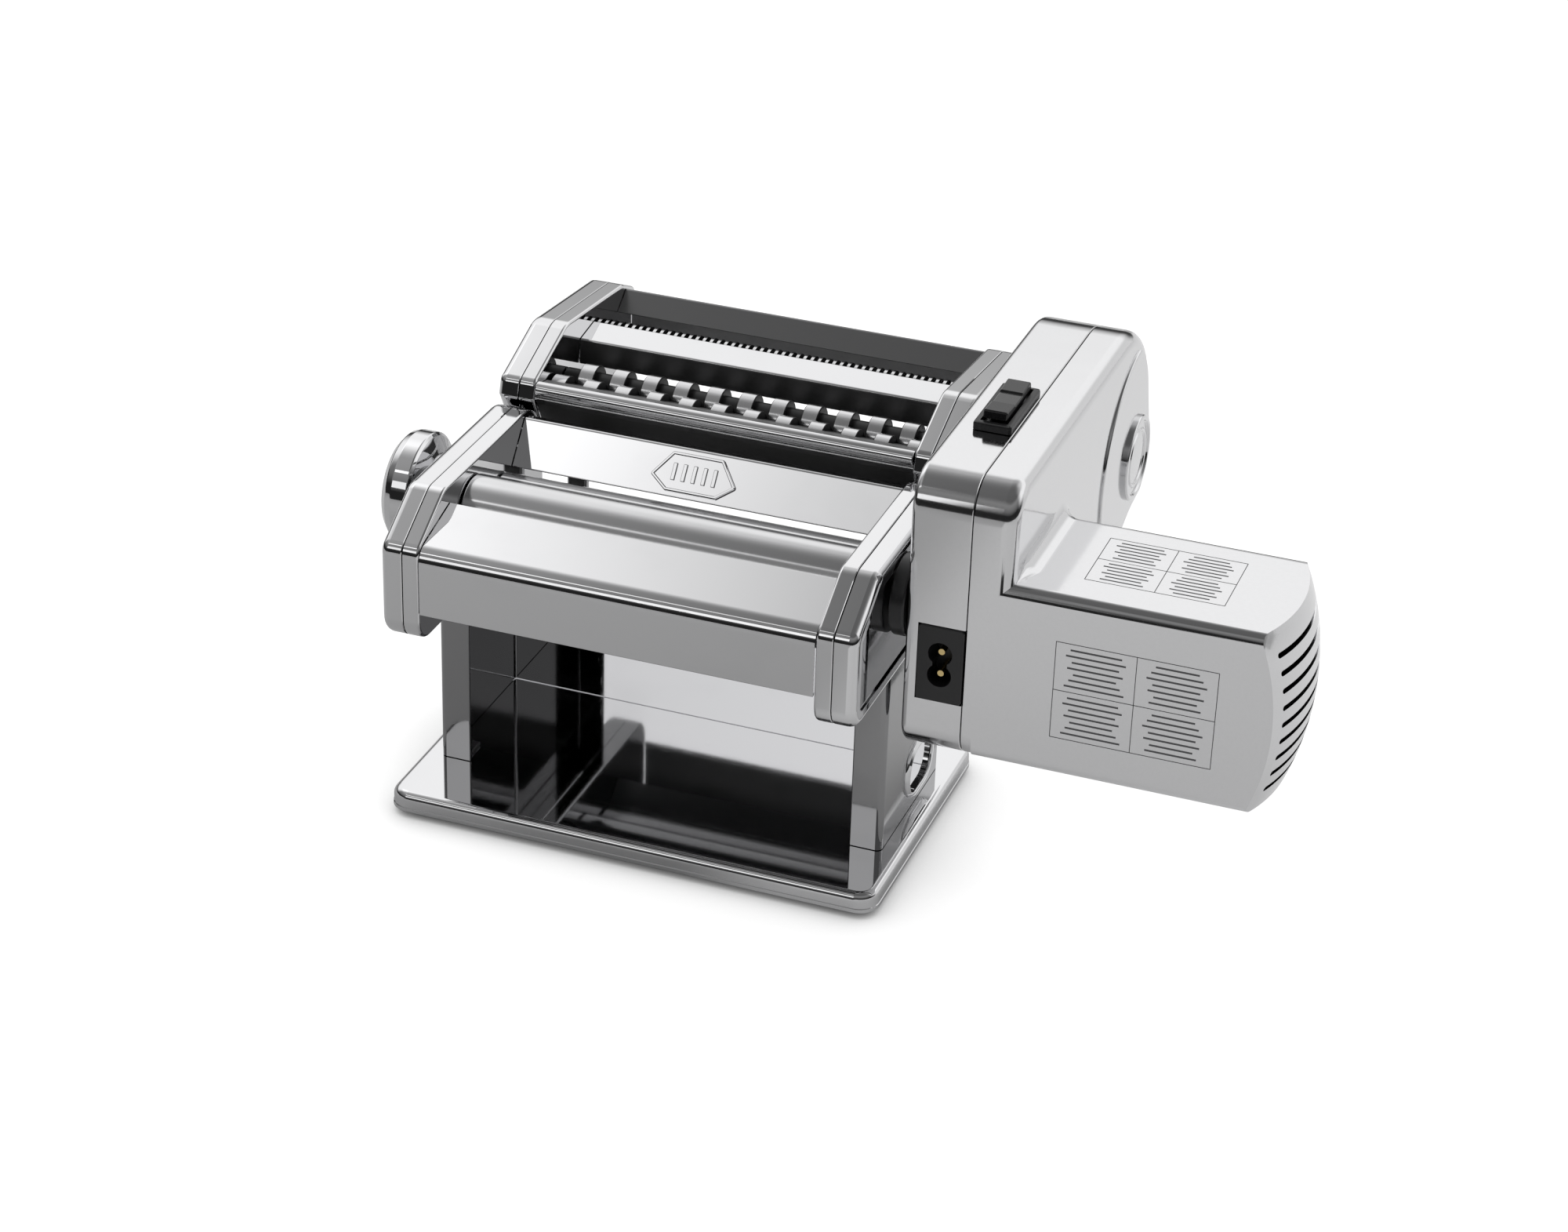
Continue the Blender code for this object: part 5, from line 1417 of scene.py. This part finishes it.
# ------------------------------------------------------------------------- motor unit
@dataclass
class MotorUnit:
    """The clip-on gearbox and motor with its inlet, switch and badge."""

    shop: Workshop
    gearbox: tuple[Corner, ...] = (
        (21.0, 62.0, 11.0), (21.0, 171.0, 14.0), (192.0, 171.0, 40.0), (211.5, 113.0, 30.0),
        (203.0, 88.5, 12.0), (184.0, 86.0, 30.0), (118.0, 62.0, 30.0),
    )
    motor: tuple[Corner, ...] = (
        (21.0, 64.0, 5.0), (21.0, 135.0, 4.5), (87.0, 135.0, 7.0), (87.0, 64.0, 7.0),
    )
    wall: float = 2.2
    edge: float = 5.5
    blend: float = 6.0
    bulge: tuple[float, float, float] = (60.0, 71.0, 78.0)
    vents: int = 9
    vent_pitch: float = 6.6
    vent_height: float = 2.0
    vent_inset: float = 5.5
    step_radius: float = 46.0
    badge_radius: float = 17.0
    switch_rim: float = 2.4
    lobe: float = 4.4
    pin_span: float = 8.6
    front_field: tuple[float, float, int] = (58.0, 38.0, 7)
    top_field: tuple[float, float, int] = (50.0, 34.0, 6)
    field_middle: tuple[float, float, float] = (181.0, 55.0, 99.0)

    def build(self) -> None:
        """Build the whole motor unit."""
        self.build_inner_shell()
        self.build_outer_housing()
        self.build_badge()
        self.build_inlet()
        self.build_switch()
        self.build_collar()
        self.build_plates()

    def build_inner_shell(self) -> None:
        """Build the casing half beside the rollers."""
        size = self.shop.datum.box("gearbox_inner_shell")
        near, far = size.low.x, size.high.x
        stations = [
            (self.wall, near + self.wall), (self.wall, far - 0.2), (self.wall - 0.2, far),
            (0.3, far), (0.0, far - 0.3), (0.0, near + 2.5),
        ]
        stations += quarter(0.0, 2.5, near + 2.5, -1, 6)
        roller = self.shop.datum.box("front_roller").middle
        inlet = self.shop.datum.box("inlet_socket")
        notch = block(
            (inlet.low.x - 0.2, size.low.y - 4, inlet.low.z - 0.2),
            (far + 3, size.low.y + self.wall + 2, inlet.high.z + 0.2),
        )
        self.shop.finish(
            outline_block(self.gearbox, Plane.YZ, stations, 12), "gearbox_inner_half",
            "satin_chrome", replaces=("gearbox_inner_shell",),
            cuts=(drum(near - 2, near + self.wall + 1, (roller.y, roller.z), 6.4), notch),
        )

    def build_outer_housing(self) -> None:
        """Build the outer gearbox half and the vented motor box as one hollow casting."""
        size = self.shop.datum.box("motor_housing")
        end = self.shop.datum.box("motor_end_cap")
        near, face = size.low.x, self.face()
        stations = [(0.5, near), (0.3, near), (0.0, near + 0.3), (0.0, face - self.edge)]
        stations += quarter(0.0, self.edge, face - self.edge, 1, 8)
        shell = outline_block(self.gearbox, Plane.YZ, stations, 12)
        motor = self.solid(
            outline_block(self.motor, Plane.YZ, ((0, near + 4), (0, end.high.x + 4)), 8),
            self.bulge_body(0.0), "INTERSECT",
        )
        gear_space = outline_block(
            inset(self.gearbox, self.wall), Plane.YZ, ((0, near - 3), (0, face - self.wall)), 8
        )
        motor_space = self.solid(
            outline_block(
                inset(self.motor, self.wall + 0.3), Plane.YZ,
                ((0, face - self.wall - 2), (0, end.high.x)), 6,
            ),
            self.bulge_body(self.wall), "INTERSECT",
        )
        self.shop.finish(
            shell, "outer_casting", "satin_chrome", replaces=("motor_housing", "motor_end_cap"),
            adds=(motor, self.blend_strip(face)),
            cuts=(gear_space, motor_space, self.vent_slots(end)), sharp=32.0,
        )

    def vent_slots(self, end: Box) -> bmesh.types.BMesh:
        """Build the cutters for the cooling slots in the motor's end.

        Args:
            end: The end cap's box.

        Returns:
            The cutters.
        """
        rise = (self.vents - 1) / 2 * self.vent_pitch
        front, back = end.low.y + self.vent_inset, end.high.y - self.vent_inset
        half = self.vent_height / 2
        slot = outline_block(
            ((front, -half, 0.95), (back, -half, 0.95), (back, half, 0.95), (front, half, 0.95)),
            Plane.YZ, ((0, end.low.x + 6), (0, end.high.x + 4)), 5,
        )
        start = (0, 0, end.middle.z - rise)
        return self.shop.copies(slot, self.vents, "satin_chrome", start, (0, 0, self.vent_pitch))

    @staticmethod
    def solid(first: bmesh.types.BMesh, other: bmesh.types.BMesh, operation: str) -> bmesh.types.BMesh:
        """Combine two meshes and return the result as one."""
        holder, tool = new_piece(first, "first"), new_piece(other, "other")
        modifier = holder.modifiers.new("combine", "BOOLEAN")
        modifier.operation, modifier.object = operation, tool
        bake(holder)
        bm = bmesh.new()
        bm.from_mesh(holder.data)
        bpy.data.objects.remove(holder)
        bpy.data.objects.remove(tool)
        return bm

    def face(self) -> float:
        """Return X of the gearbox's right face."""
        return self.shop.datum.box("gearbox_badge").low.x - 0.3

    def blend_strip(self, face: float) -> bmesh.types.BMesh:
        """Build the hollow rounding where the motor box leaves the gearbox.

        Args:
            face: X of the gearbox's right face.

        Returns:
            The strip, which fades in behind the top front edge.
        """
        outline = fillet(self.motor, 8)
        steps = 9
        top = outline[steps * 2 - 1]
        back = outline[steps * 2]
        lead = [top.lerp(back, share) for share in (0.0, 0.04, 0.09, 0.15, 0.22, 0.5)]
        line = lead + outline[steps * 2:steps * 4] + [outline[0].lerp(outline[-1], 0.95)]
        grow = [0.02, 0.12, 0.35, 0.7, 1.0]
        rings: list[Ring] = []
        for index, here in enumerate(line):
            before = line[max(index - 1, 0)]
            after = line[min(index + 1, len(line) - 1)]
            along = (after - before).normalized()
            outward = Vector((-along.y, along.x))
            reach = self.blend * (grow[index] if index < len(grow) else 1.0)
            ring = [self.at(face - 1.2, here, outward, -1.2), self.at(face - 1.2, here, outward, reach)]
            for step in range(8):
                angle = math.pi / 2 * step / 7
                rise = reach * (1 - math.sin(angle))
                run = reach * (1 - math.cos(angle))
                ring.append(self.at(face + run, here, outward, rise))
            ring.append(self.at(face + reach, here, outward, -1.2))
            rings.append(ring)
        bm = bmesh.new()
        loft(bm, rings)
        return bm

    @staticmethod
    def at(x: float, place: Vector, outward: Vector, reach: float) -> Vector:
        """Return a point beside an outline point, at one X."""
        spot = place + outward * reach
        return Vector((x, spot.x, spot.y))

    def bulge_body(self, shrink: float) -> bmesh.types.BMesh:
        """Return the egg shape that gives the motor's end its double curve."""
        cap = self.shop.datum.box("motor_end_cap")
        bm = bmesh.new()
        bmesh.ops.create_uvsphere(bm, u_segments=128, v_segments=96, radius=1.0)
        radii = [radius - shrink for radius in self.bulge]
        centre = (cap.high.x - self.bulge[0], cap.middle.y, cap.middle.z)
        lie = Matrix.Rotation(math.radians(90.0), 4, "Y")
        moved(bm, Matrix.Translation(centre) @ Matrix.Diagonal((*radii, 1.0)) @ lie)
        for vert in bm.verts:
            if vert.co.x < centre[0]:
                vert.co.x = centre[0] + (vert.co.x - centre[0]) * 2.0
                lean = (centre[0] - vert.co.x) / (2.0 * radii[0])
                grow = 1.0 / math.sqrt(max(1.0 - lean * lean, 0.02))
                vert.co.y = centre[1] + (vert.co.y - centre[1]) * grow
                vert.co.z = centre[2] + (vert.co.z - centre[2]) * grow
        return bm

    def build_badge(self) -> None:
        """Build the raised step on the gearbox's face and the plain round badge."""
        size = self.shop.datum.box("gearbox_badge")
        axis, face = (size.middle.y, size.middle.z), self.face()
        step = turned(
            (
                (face - 0.4, 0, 0), (face - 0.4, self.step_radius, 0),
                (face + 0.9, self.step_radius, 0.8), (face + 0.9, 0, 0),
            ),
            axis, 160,
        )
        inner = inset(self.gearbox, self.edge + 1.0)
        trim = outline_block(inner, Plane.YZ, ((0, face - 2), (0, face + 3)), 12)
        self.shop.finish(step, "face_step", "satin_chrome", keeps=(trim,), soften=0.4, sharp=30.0)
        wide = self.badge_radius
        base = face + 0.5
        profile = (
            (base, 0, 0), (base, wide, 0), (base + 2.2, wide, 0.9), (base + 2.2, wide - 2.0, 0.4),
            (base + 1.3, wide - 2.6, 0.3), (base + 1.3, wide - 5.0, 0.3), (base + 1.9, wide - 5.6, 0.3),
            (base + 1.9, wide - 6.4, 0.3), (base + 1.3, wide - 7.0, 0.3), (base + 1.7, 0, 0),
        )
        badge = turned(profile, axis, 128)
        self.shop.finish(badge, "round_badge", "satin_chrome", replaces=("gearbox_badge",))

    def build_inlet(self) -> None:
        """Build the figure-of-eight inlet in its square flange."""
        size = self.shop.datum.box("inlet_socket")
        low, high, middle = size.low, size.high, size.middle
        flange = outline_block(
            ((low.x, low.z, 1.2), (high.x, low.z, 1.2), (high.x, high.z, 1.2), (low.x, high.z, 1.2)),
            Plane.XZ, [(0, low.y + 2.2)] + [(0, low.y + 0.5), (0.15, low.y + 0.15), (0.5, low.y)], 5,
        )
        reach = self.pin_span / 2
        tub = block(
            (middle.x - self.lobe - 1, low.y + 1.7, middle.z - reach - self.lobe - 1),
            (middle.x + self.lobe + 1, high.y, middle.z + reach + self.lobe + 1),
        )
        waist = math.acos(min(0.9, 0.82 * reach / self.lobe))
        outline: list[Vector] = []
        for sign in (1.0, -1.0):
            for step in range(33):
                angle = -math.pi + waist + 2 * (math.pi - waist) * step / 32
                outline.append(Vector((
                    middle.x + sign * self.lobe * math.sin(angle),
                    middle.z + sign * (reach + self.lobe * math.cos(angle)),
                )))
        recess = bmesh.new()
        loft(recess, [[Plane.XZ.lay(p.x, p.y, y) for p in outline] for y in (low.y - 2, high.y - 1.6)])
        self.shop.finish(
            flange, "mains_inlet", "black_plastic", replaces=("inlet_socket",),
            adds=(tub,), cuts=(recess,), soften=0.2, sharp=50.0,
        )

    def build_switch(self) -> None:
        """Build the switch frame and the three-position rocker in it."""
        size = self.shop.datum.box("switch_bezel")
        low, high = size.low, size.high
        corners = ((low.x, low.y, 1.2), (high.x, low.y, 1.2), (high.x, high.y, 1.2), (low.x, high.y, 1.2))
        rim = self.switch_rim
        stations = [
            (rim + 0.2, low.z + 0.7), (rim, low.z + 0.9), (rim, high.z - 0.4), (rim - 0.3, high.z),
            (0.9, high.z), (0.25, high.z - 0.3), (0.0, high.z - 0.9), (0.0, low.z),
        ]
        frame_mesh = outline_block(corners, Plane.XY, stations, 5)
        self.shop.finish(frame_mesh, "switch_frame", "black_plastic", replaces=("switch_bezel",))
        rocker = self.shop.datum.box("switch_rocker")
        middle, half = rocker.middle.y, (rocker.high.y - rocker.low.y) / 2
        top = high.z
        outline = (
            (middle - half, top + 0.6, 0.3), (middle - half + 0.8, top + 3.6, 0.8),
            (middle - half * 0.35, top + 2.9, 0.5), (middle - half * 0.3, top + 2.2, 0.5),
            (middle + half * 0.3, top + 2.2, 0.5), (middle + half * 0.35, top + 2.9, 0.5),
            (middle + half - 0.8, top + 3.6, 0.8), (middle + half, top + 0.6, 0.3),
            (middle, top - 1.9, 4.0),
        )
        left, right = rocker.low.x, rocker.high.x
        stations = [(0.4, left), (0.0, left + 0.4), (0.0, right - 0.4), (0.4, right)]
        rocker_mesh = outline_block(outline, Plane.YZ, stations, 5)
        self.shop.finish(
            rocker_mesh, "rocker", "gloss_plastic", "switch_rock", ("switch_rocker",), sharp=30.0
        )

    def build_collar(self) -> None:
        """Build the black collar between the roller housing and the gearbox."""
        size = self.shop.datum.box("coupling_collar")
        wide = size.high.y - size.middle.y
        low, high = size.low.x, size.high.x
        profile = ((low, 6.4, 0), (low, wide, 0.8), (high, wide, 0.8), (high, 6.4, 0), (low, 6.4, 0))
        self.shop.finish(
            turned(profile, (size.middle.y, size.middle.z), 96), "drive_collar", "black_plastic",
            replaces=("coupling_collar",),
        )

    def build_plates(self) -> None:
        """Print blank ruled fields on the motor box: a grid with plain bars, no words."""
        pieces = (self.ruled_field(*self.front_field), self.ruled_field(*self.top_field))
        front = self.shop.datum.box("motor_housing").low.y
        top = self.motor[1][1]
        stood = Matrix.Rotation(math.radians(90.0), 4, "X")
        x, y, z = self.field_middle
        upright = Matrix.Translation((x, front + 0.02, z)) @ stood
        flat = Matrix.Translation((x, y, top - 0.02))
        self.shop.finish(moved(pieces[0], upright), "front_ruled_field", "grey_print")
        self.shop.finish(moved(pieces[1], flat), "top_ruled_field", "grey_print")

    def ruled_field(self, wide: float, tall: float, lines: int) -> bmesh.types.BMesh:
        """Return a thin ruled frame of four cells with bars in them, round the origin."""
        thick, rise = 0.28, 0.06
        across = block((-wide / 2, -thick / 2, 0), (wide / 2, thick / 2, rise))
        upright = block((-thick / 2, -tall / 2, 0), (thick / 2, tall / 2, rise))
        rails = [
            self.shop.copies(across, 3, "grey_print", (0, -tall / 2, 0), (0, tall / 2, 0)),
            self.shop.copies(upright, 3, "grey_print", (-wide / 2, 0, 0), (wide / 2, 0, 0)),
        ]
        pitch = tall / 2 / (lines + 1)
        for row in (-1, 0):
            for column in (-1, 0):
                for line in range(lines):
                    share = 0.62 + 0.3 * ((line * 7 + column * 3 + row * 5) % 5) / 5
                    length = (wide / 2 - 4.0) * share
                    x = (column + 0.5) * wide / 2
                    y = (row + 1) * tall / 2 - pitch * (line + 1)
                    rails.append(block((x - length / 2, y - 0.35, 0), (x + length / 2, y + 0.35, rise)))
        return merged(rails)


# ----------------------------------------------------------------------------- kept
KEPT_FINISH: dict[str, str] = {
    "roller_steel": "roller_steel", "zinc_plate": "zinc_plate", "gear_steel": "gear_steel",
    "bronze": "bronze", "brass_pin": "brass_pin", "black_plastic": "black_plastic",
    "chrome": "chrome", "satin_chrome": "satin_chrome", "rubber": "rubber",
}


def dress_kept_nodes(shop: Workshop, nodes: dict[str, bpy.types.Object], record: dict) -> None:
    """Give every CAD node that still shows the procedural finish of its slot.

    Args:
        shop: The workshop that holds the finishes.
        nodes: The CAD nodes by name.
        record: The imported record.
    """
    slots = {part["node"]: part["material_slot"] for part in record["subparts"]}
    for name, node in sorted(nodes.items()):
        if node.hide_render:
            continue
        node.data.materials.clear()
        node.data.materials.append(shop.materials[KEPT_FINISH[slots[name]]])
        LOG.info("%s kept, in %s", name, slots[name])


# --------------------------------------------------------------------------- studio
@dataclass
class NodeKit:
    """Short ways to add and join the nodes of one material or world, from an empty tree."""

    tree: bpy.types.NodeTree

    def __post_init__(self) -> None:
        """Empty the tree."""
        self.tree.nodes.clear()

    @classmethod
    def for_piece(cls, piece: bpy.types.Object) -> NodeKit:
        material = bpy.data.materials.new(piece.name)
        material.use_nodes = True
        piece.data.materials.append(material)
        return cls(material.node_tree)

    def add(
        self, kind: str, inputs: dict[str | int, object] | None = None, **settings: object,
    ) -> bpy.types.Node:
        """Add a node.

        Args:
            kind: The node's type, without the ShaderNode in front.
            inputs: A socket to link or a value to set, for each input named.
            settings: The node's own properties, set before its inputs.

        Returns:
            The node.
        """
        made = self.tree.nodes.new("ShaderNode" + kind)
        for name, value in settings.items():
            setattr(made, name, value)
        for name, value in (inputs or {}).items():
            if isinstance(value, bpy.types.NodeSocket):
                self.tree.links.new(value, made.inputs[name])
            else:
                made.inputs[name].default_value = value
        return made

    def where(self, kind: str) -> tuple[bpy.types.NodeSocket, ...]:
        """Return X, Y and Z of a texture coordinate."""
        split = self.add("SeparateXYZ", {0: self.add("TexCoord").outputs[kind]})
        return tuple(split.outputs)

    def math(self, operation: str, first: object, second: object, third: float = 0.0) -> bpy.types.NodeSocket:
        """Return the value of a Math node."""
        return self.add("Math", {0: first, 1: second, 2: third}, operation=operation).outputs[0]

    def smooth(
        self, value: bpy.types.NodeSocket, low: float, high: float, start: float = 0.0, stop: float = 1.0,
    ) -> bpy.types.NodeSocket:
        """Turn low..high into start..stop with soft ends and return the value."""
        inputs = {"From Min": low, "From Max": high, "To Min": start, "To Max": stop, "Value": value}
        return self.add("MapRange", inputs, interpolation_type="SMOOTHSTEP").outputs[0]

    def blend(self, factor: bpy.types.NodeSocket, first: object, second: object) -> bpy.types.NodeSocket:
        """Mix two values and return the result."""
        return self.add("Mix", {"Factor": factor, "A": first, "B": second}).outputs["Result"]

    def colours(self, mode: str, factor: object, first: object, second: object) -> bpy.types.NodeSocket:
        """Mix two colours and return the result."""
        inputs = {"Factor": factor, "A": first, "B": second}
        return self.add("Mix", inputs, data_type="RGBA", blend_type=mode).outputs["Result"]

    def both(self, first: bpy.types.Node, second: bpy.types.Node) -> bpy.types.NodeSocket:
        """Return the sum of two shaders."""
        return self.add("AddShader", {0: first.outputs[0], 1: second.outputs[0]}).outputs[0]

    def by_ray(self, mirrored: bpy.types.NodeSocket, seen: bpy.types.NodeSocket) -> bpy.types.NodeSocket:
        """Return a shader that shows one thing in the chrome and another to the lens."""
        lens = self.add("LightPath").outputs["Is Camera Ray"]
        return self.add("MixShader", {0: lens, 1: mirrored, 2: seen}).outputs[0]

    def curve(
        self, value: bpy.types.NodeSocket, stops: Sequence[tuple[float, float]],
    ) -> bpy.types.NodeSocket:
        """Add a Float Curve through brightness stops and return its value."""
        made = self.add("FloatCurve", {"Value": value})
        curve = made.mapping.curves[0]
        made.mapping.use_clip = False
        curve.points[0].location = stops[0]
        curve.points[1].location = stops[-1]
        for stop in stops[1:-1]:
            curve.points.new(*stop)
        for point in curve.points:
            point.handle_type = "VECTOR"
        made.mapping.update()
        return made.outputs[0]


@dataclass
class Studio:
    """The table top, the soft surroundings that the chrome shows, and the camera."""

    datum: Datum
    lens: float = 81.305
    azimuth: float = 19.3545
    elevation: float = 28.3595
    roll: float = -1.93184
    pivot: tuple[float, float, float] = (54.344, 54.344, 76.082)
    slide: tuple[float, float] = (12.996, -12.596)
    distance: float = 1301.24
    contact: float = 0.045
    # painted light on the floor, seen only in the chrome: front and back tones and a glow on the right
    mirrored_tones: tuple[float, float] = (0.62, 0.95)
    right_glow: float = 0.24
    paper: float = 0.30
    paper_glow: float = 0.95

    def build(self) -> None:
        """Build floor, surroundings, lamps and camera."""
        self.build_floor()
        self.build_surroundings()
        self.build_lamps()
        self.build_camera()
        bpy.context.scene.view_settings.view_transform = "Standard"

    def build_camera(self) -> None:
        """Set the camera up in front, to the right and above."""
        a, e, r = (math.radians(v) for v in (self.azimuth, self.elevation, self.roll))
        back = Vector((math.sin(a) * math.cos(e), -math.cos(a) * math.cos(e), math.sin(e)))
        right = Vector((math.cos(a), math.sin(a), 0.0))
        up = back.cross(right)
        tx, ty = self.slide
        across = -tx * math.cos(r) - ty * math.sin(r)
        rise = tx * math.sin(r) - ty * math.cos(r)
        place = Vector(self.pivot) + right * across + up * rise + back * self.distance
        cam_right = right * math.cos(r) - up * math.sin(r)
        cam_up = right * math.sin(r) + up * math.cos(r)
        turn = Matrix((cam_right, cam_up, back)).transposed()
        camera = bpy.data.cameras.new("view_camera")
        camera.lens, camera.sensor_width, camera.sensor_fit = self.lens, 36.0, "HORIZONTAL"
        camera.clip_start, camera.clip_end = 0.05, 20.0
        holder = bpy.data.objects.new("view_camera", camera)
        holder.matrix_world = Matrix.Translation(self.datum.to_world() @ place) @ turn.to_4x4()
        bpy.context.scene.collection.objects.link(holder)
        bpy.context.scene.camera = holder

    def build_floor(self) -> None:
        """Lay the table top, pale to the eye and greyer in the chrome, with painted contact shadow close
        under the base.
        """
        bm = bmesh.new()
        bmesh.ops.create_grid(bm, x_segments=1, y_segments=1, size=1.0)
        mesh = bpy.data.meshes.new("table_top")
        bm.to_mesh(mesh)
        bm.free()
        mesh.transform(Matrix.Translation((0.0, 0.9, 0.0)) @ Matrix.Diagonal((2.6, 2.9, 1.0, 1.0)))
        floor = bpy.data.objects.new("table_top", mesh)
        bpy.context.scene.collection.objects.link(floor)
        kit = NodeKit.for_piece(floor)
        across, along, _ = kit.where("Object")
        # painted contact shadow: the occlusion colour darkens the floor's glow and its mirrored tone close
        # under the base
        near = kit.add("AmbientOcclusion", {"Distance": self.contact}, samples=8).outputs["Color"]
        depth = kit.add("MapRange", {"From Min": -0.20, "From Max": 0.25, "Value": along}).outputs[0]
        # painted shade and light for the chrome only: the mirrored floor is greyer in front and brighter
        # behind
        front, back = self.mirrored_tones
        tone = kit.colours("MIX", depth, (front, front, front, 1.0), (back, back, back, 1.0))
        tone = kit.colours("MULTIPLY", 1.0, tone, near)
        # painted glow, seen only in the chrome, that brightens the floor on the right
        right = kit.smooth(across, -0.05, 0.0, 0.0, self.right_glow)
        mirrored = kit.both(
            kit.add("BsdfDiffuse", {"Color": tone}), kit.add("Emission", {"Color": near, "Strength": right}),
        )
        paper = kit.add("BsdfDiffuse", {"Color": (self.paper, self.paper, self.paper, 1.0)})
        seen = kit.both(paper, kit.add("Emission", {"Color": near, "Strength": self.paper_glow}))
        kit.add("OutputMaterial", {"Surface": kit.by_ray(mirrored, seen)})

    def build_surroundings(self) -> None:
        """Light the world as a studio: bright banks front and back, dark between."""
        world = bpy.data.worlds.new("studio")
        bpy.context.scene.world = world
        world.use_nodes = True
        kit = NodeKit(world.node_tree)
        across, along, up = kit.where("Generated")
        rise = kit.math("MULTIPLY_ADD", up, 0.5, 0.5)
        front = kit.curve(rise, (
            (0.00, 0.20), (0.44, 0.20), (0.475, 0.02), (0.60, 0.02), (0.70, 0.17),
            (0.85, 0.30), (1.00, 0.36),
        ))
        back = kit.curve(rise, (
            (0.00, 0.25), (0.44, 0.25), (0.475, 0.04), (0.56, 0.06), (0.65, 0.80),
            (0.71, 1.20), (0.92, 1.20), (0.97, 0.60), (1.00, 0.36),
        ))
        bank = kit.blend(kit.smooth(along, -0.15, 0.30), front, back)
        lean = kit.math("MULTIPLY_ADD", across, -4.86, -0.755)
        lean = kit.math("MINIMUM", kit.math("MAXIMUM", lean, 0.4), 1.4)
        level = kit.math("MULTIPLY", bank, kit.blend(kit.smooth(up, 0.62, 0.82), 1.0, lean))
        right_back = kit.math("MULTIPLY", kit.smooth(across, 0.02, 0.35), kit.smooth(along, 0.2, 0.6))
        level = kit.blend(right_back, level, kit.math("MAXIMUM", level, 0.85))
        white = (1.0, 1.0, 1.0, 1.0)
        mirrored = kit.add("Background", {"Color": white, "Strength": level}).outputs[0]
        seen = kit.add("Background", {"Color": white, "Strength": 1.05}).outputs[0]
        kit.add("OutputWorld", {"Surface": kit.by_ray(mirrored, seen)})

    def build_lamps(self) -> None:
        """Hang one large soft lamp over the left front."""
        lamp = bpy.data.lights.new("soft_lamp", "AREA")
        lamp.shape, lamp.size, lamp.energy = "DISK", 1.2, 6.0
        holder = bpy.data.objects.new("soft_lamp", lamp)
        place = Vector((-0.7, -0.5, 1.5))
        holder.matrix_world = Matrix.Translation(place) @ place.to_track_quat("Z", "Y").to_matrix().to_4x4()
        holder.visible_glossy = False
        bpy.context.scene.collection.objects.link(holder)
        self.build_softbox("high_softbox", (-640.0, -190.0), (880.0, 1030.0), (1.75, 0.85))
        self.build_softbox("low_softbox", (-480.0, -60.0), (345.0, 530.0), (1.15, 1.30))

    def build_softbox(
        self, name: str, wide: tuple[float, float], tall: tuple[float, float], level: tuple[float, float],
    ) -> None:
        """Hang an upright glowing panel in front of the machine that the lens does not see.

        Args:
            name: The panel's name.
            wide: Its left and right edges.
            tall: Its lower and upper edges.
            level: Its brightness at the left and right edges.
        """
        bm = bmesh.new()
        spots = ((wide[0], tall[0]), (wide[1], tall[0]), (wide[1], tall[1]), (wide[0], tall[1]))
        bm.faces.new([bm.verts.new((x, -600.0, z)) for x, z in spots])
        panel = new_piece(bm, name)
        panel.data.transform(self.datum.to_world())
        kit = NodeKit.for_piece(panel)
        edges = [(self.datum.to_world() @ Vector((x, 0.0, 0.0))).x for x in wide]
        strength = kit.smooth(kit.where("Object")[0], *edges, *level)
        glow = kit.add("Emission", {"Strength": strength})
        kit.add("OutputMaterial", {"Surface": glow.outputs[0]})
        panel.visible_camera = False


def main() -> None:
    """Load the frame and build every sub-assembly round it."""
    logging.basicConfig(level=logging.INFO, format="%(message)s")
    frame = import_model()
    shop = Workshop(Datum.from_base())
    BaseAssembly(shop).build()
    Stand(shop).build()
    RollerHousing(shop).build()
    ThicknessKnob(shop).build()
    CutterUnit(shop).build()
    MotorUnit(shop).build()
    dress_kept_nodes(shop, frame["nodes"], frame["record"])
    Studio(shop.datum).build()
    LOG.info("%d pieces built", len(shop.made))


if __name__ == "__main__":
    main()
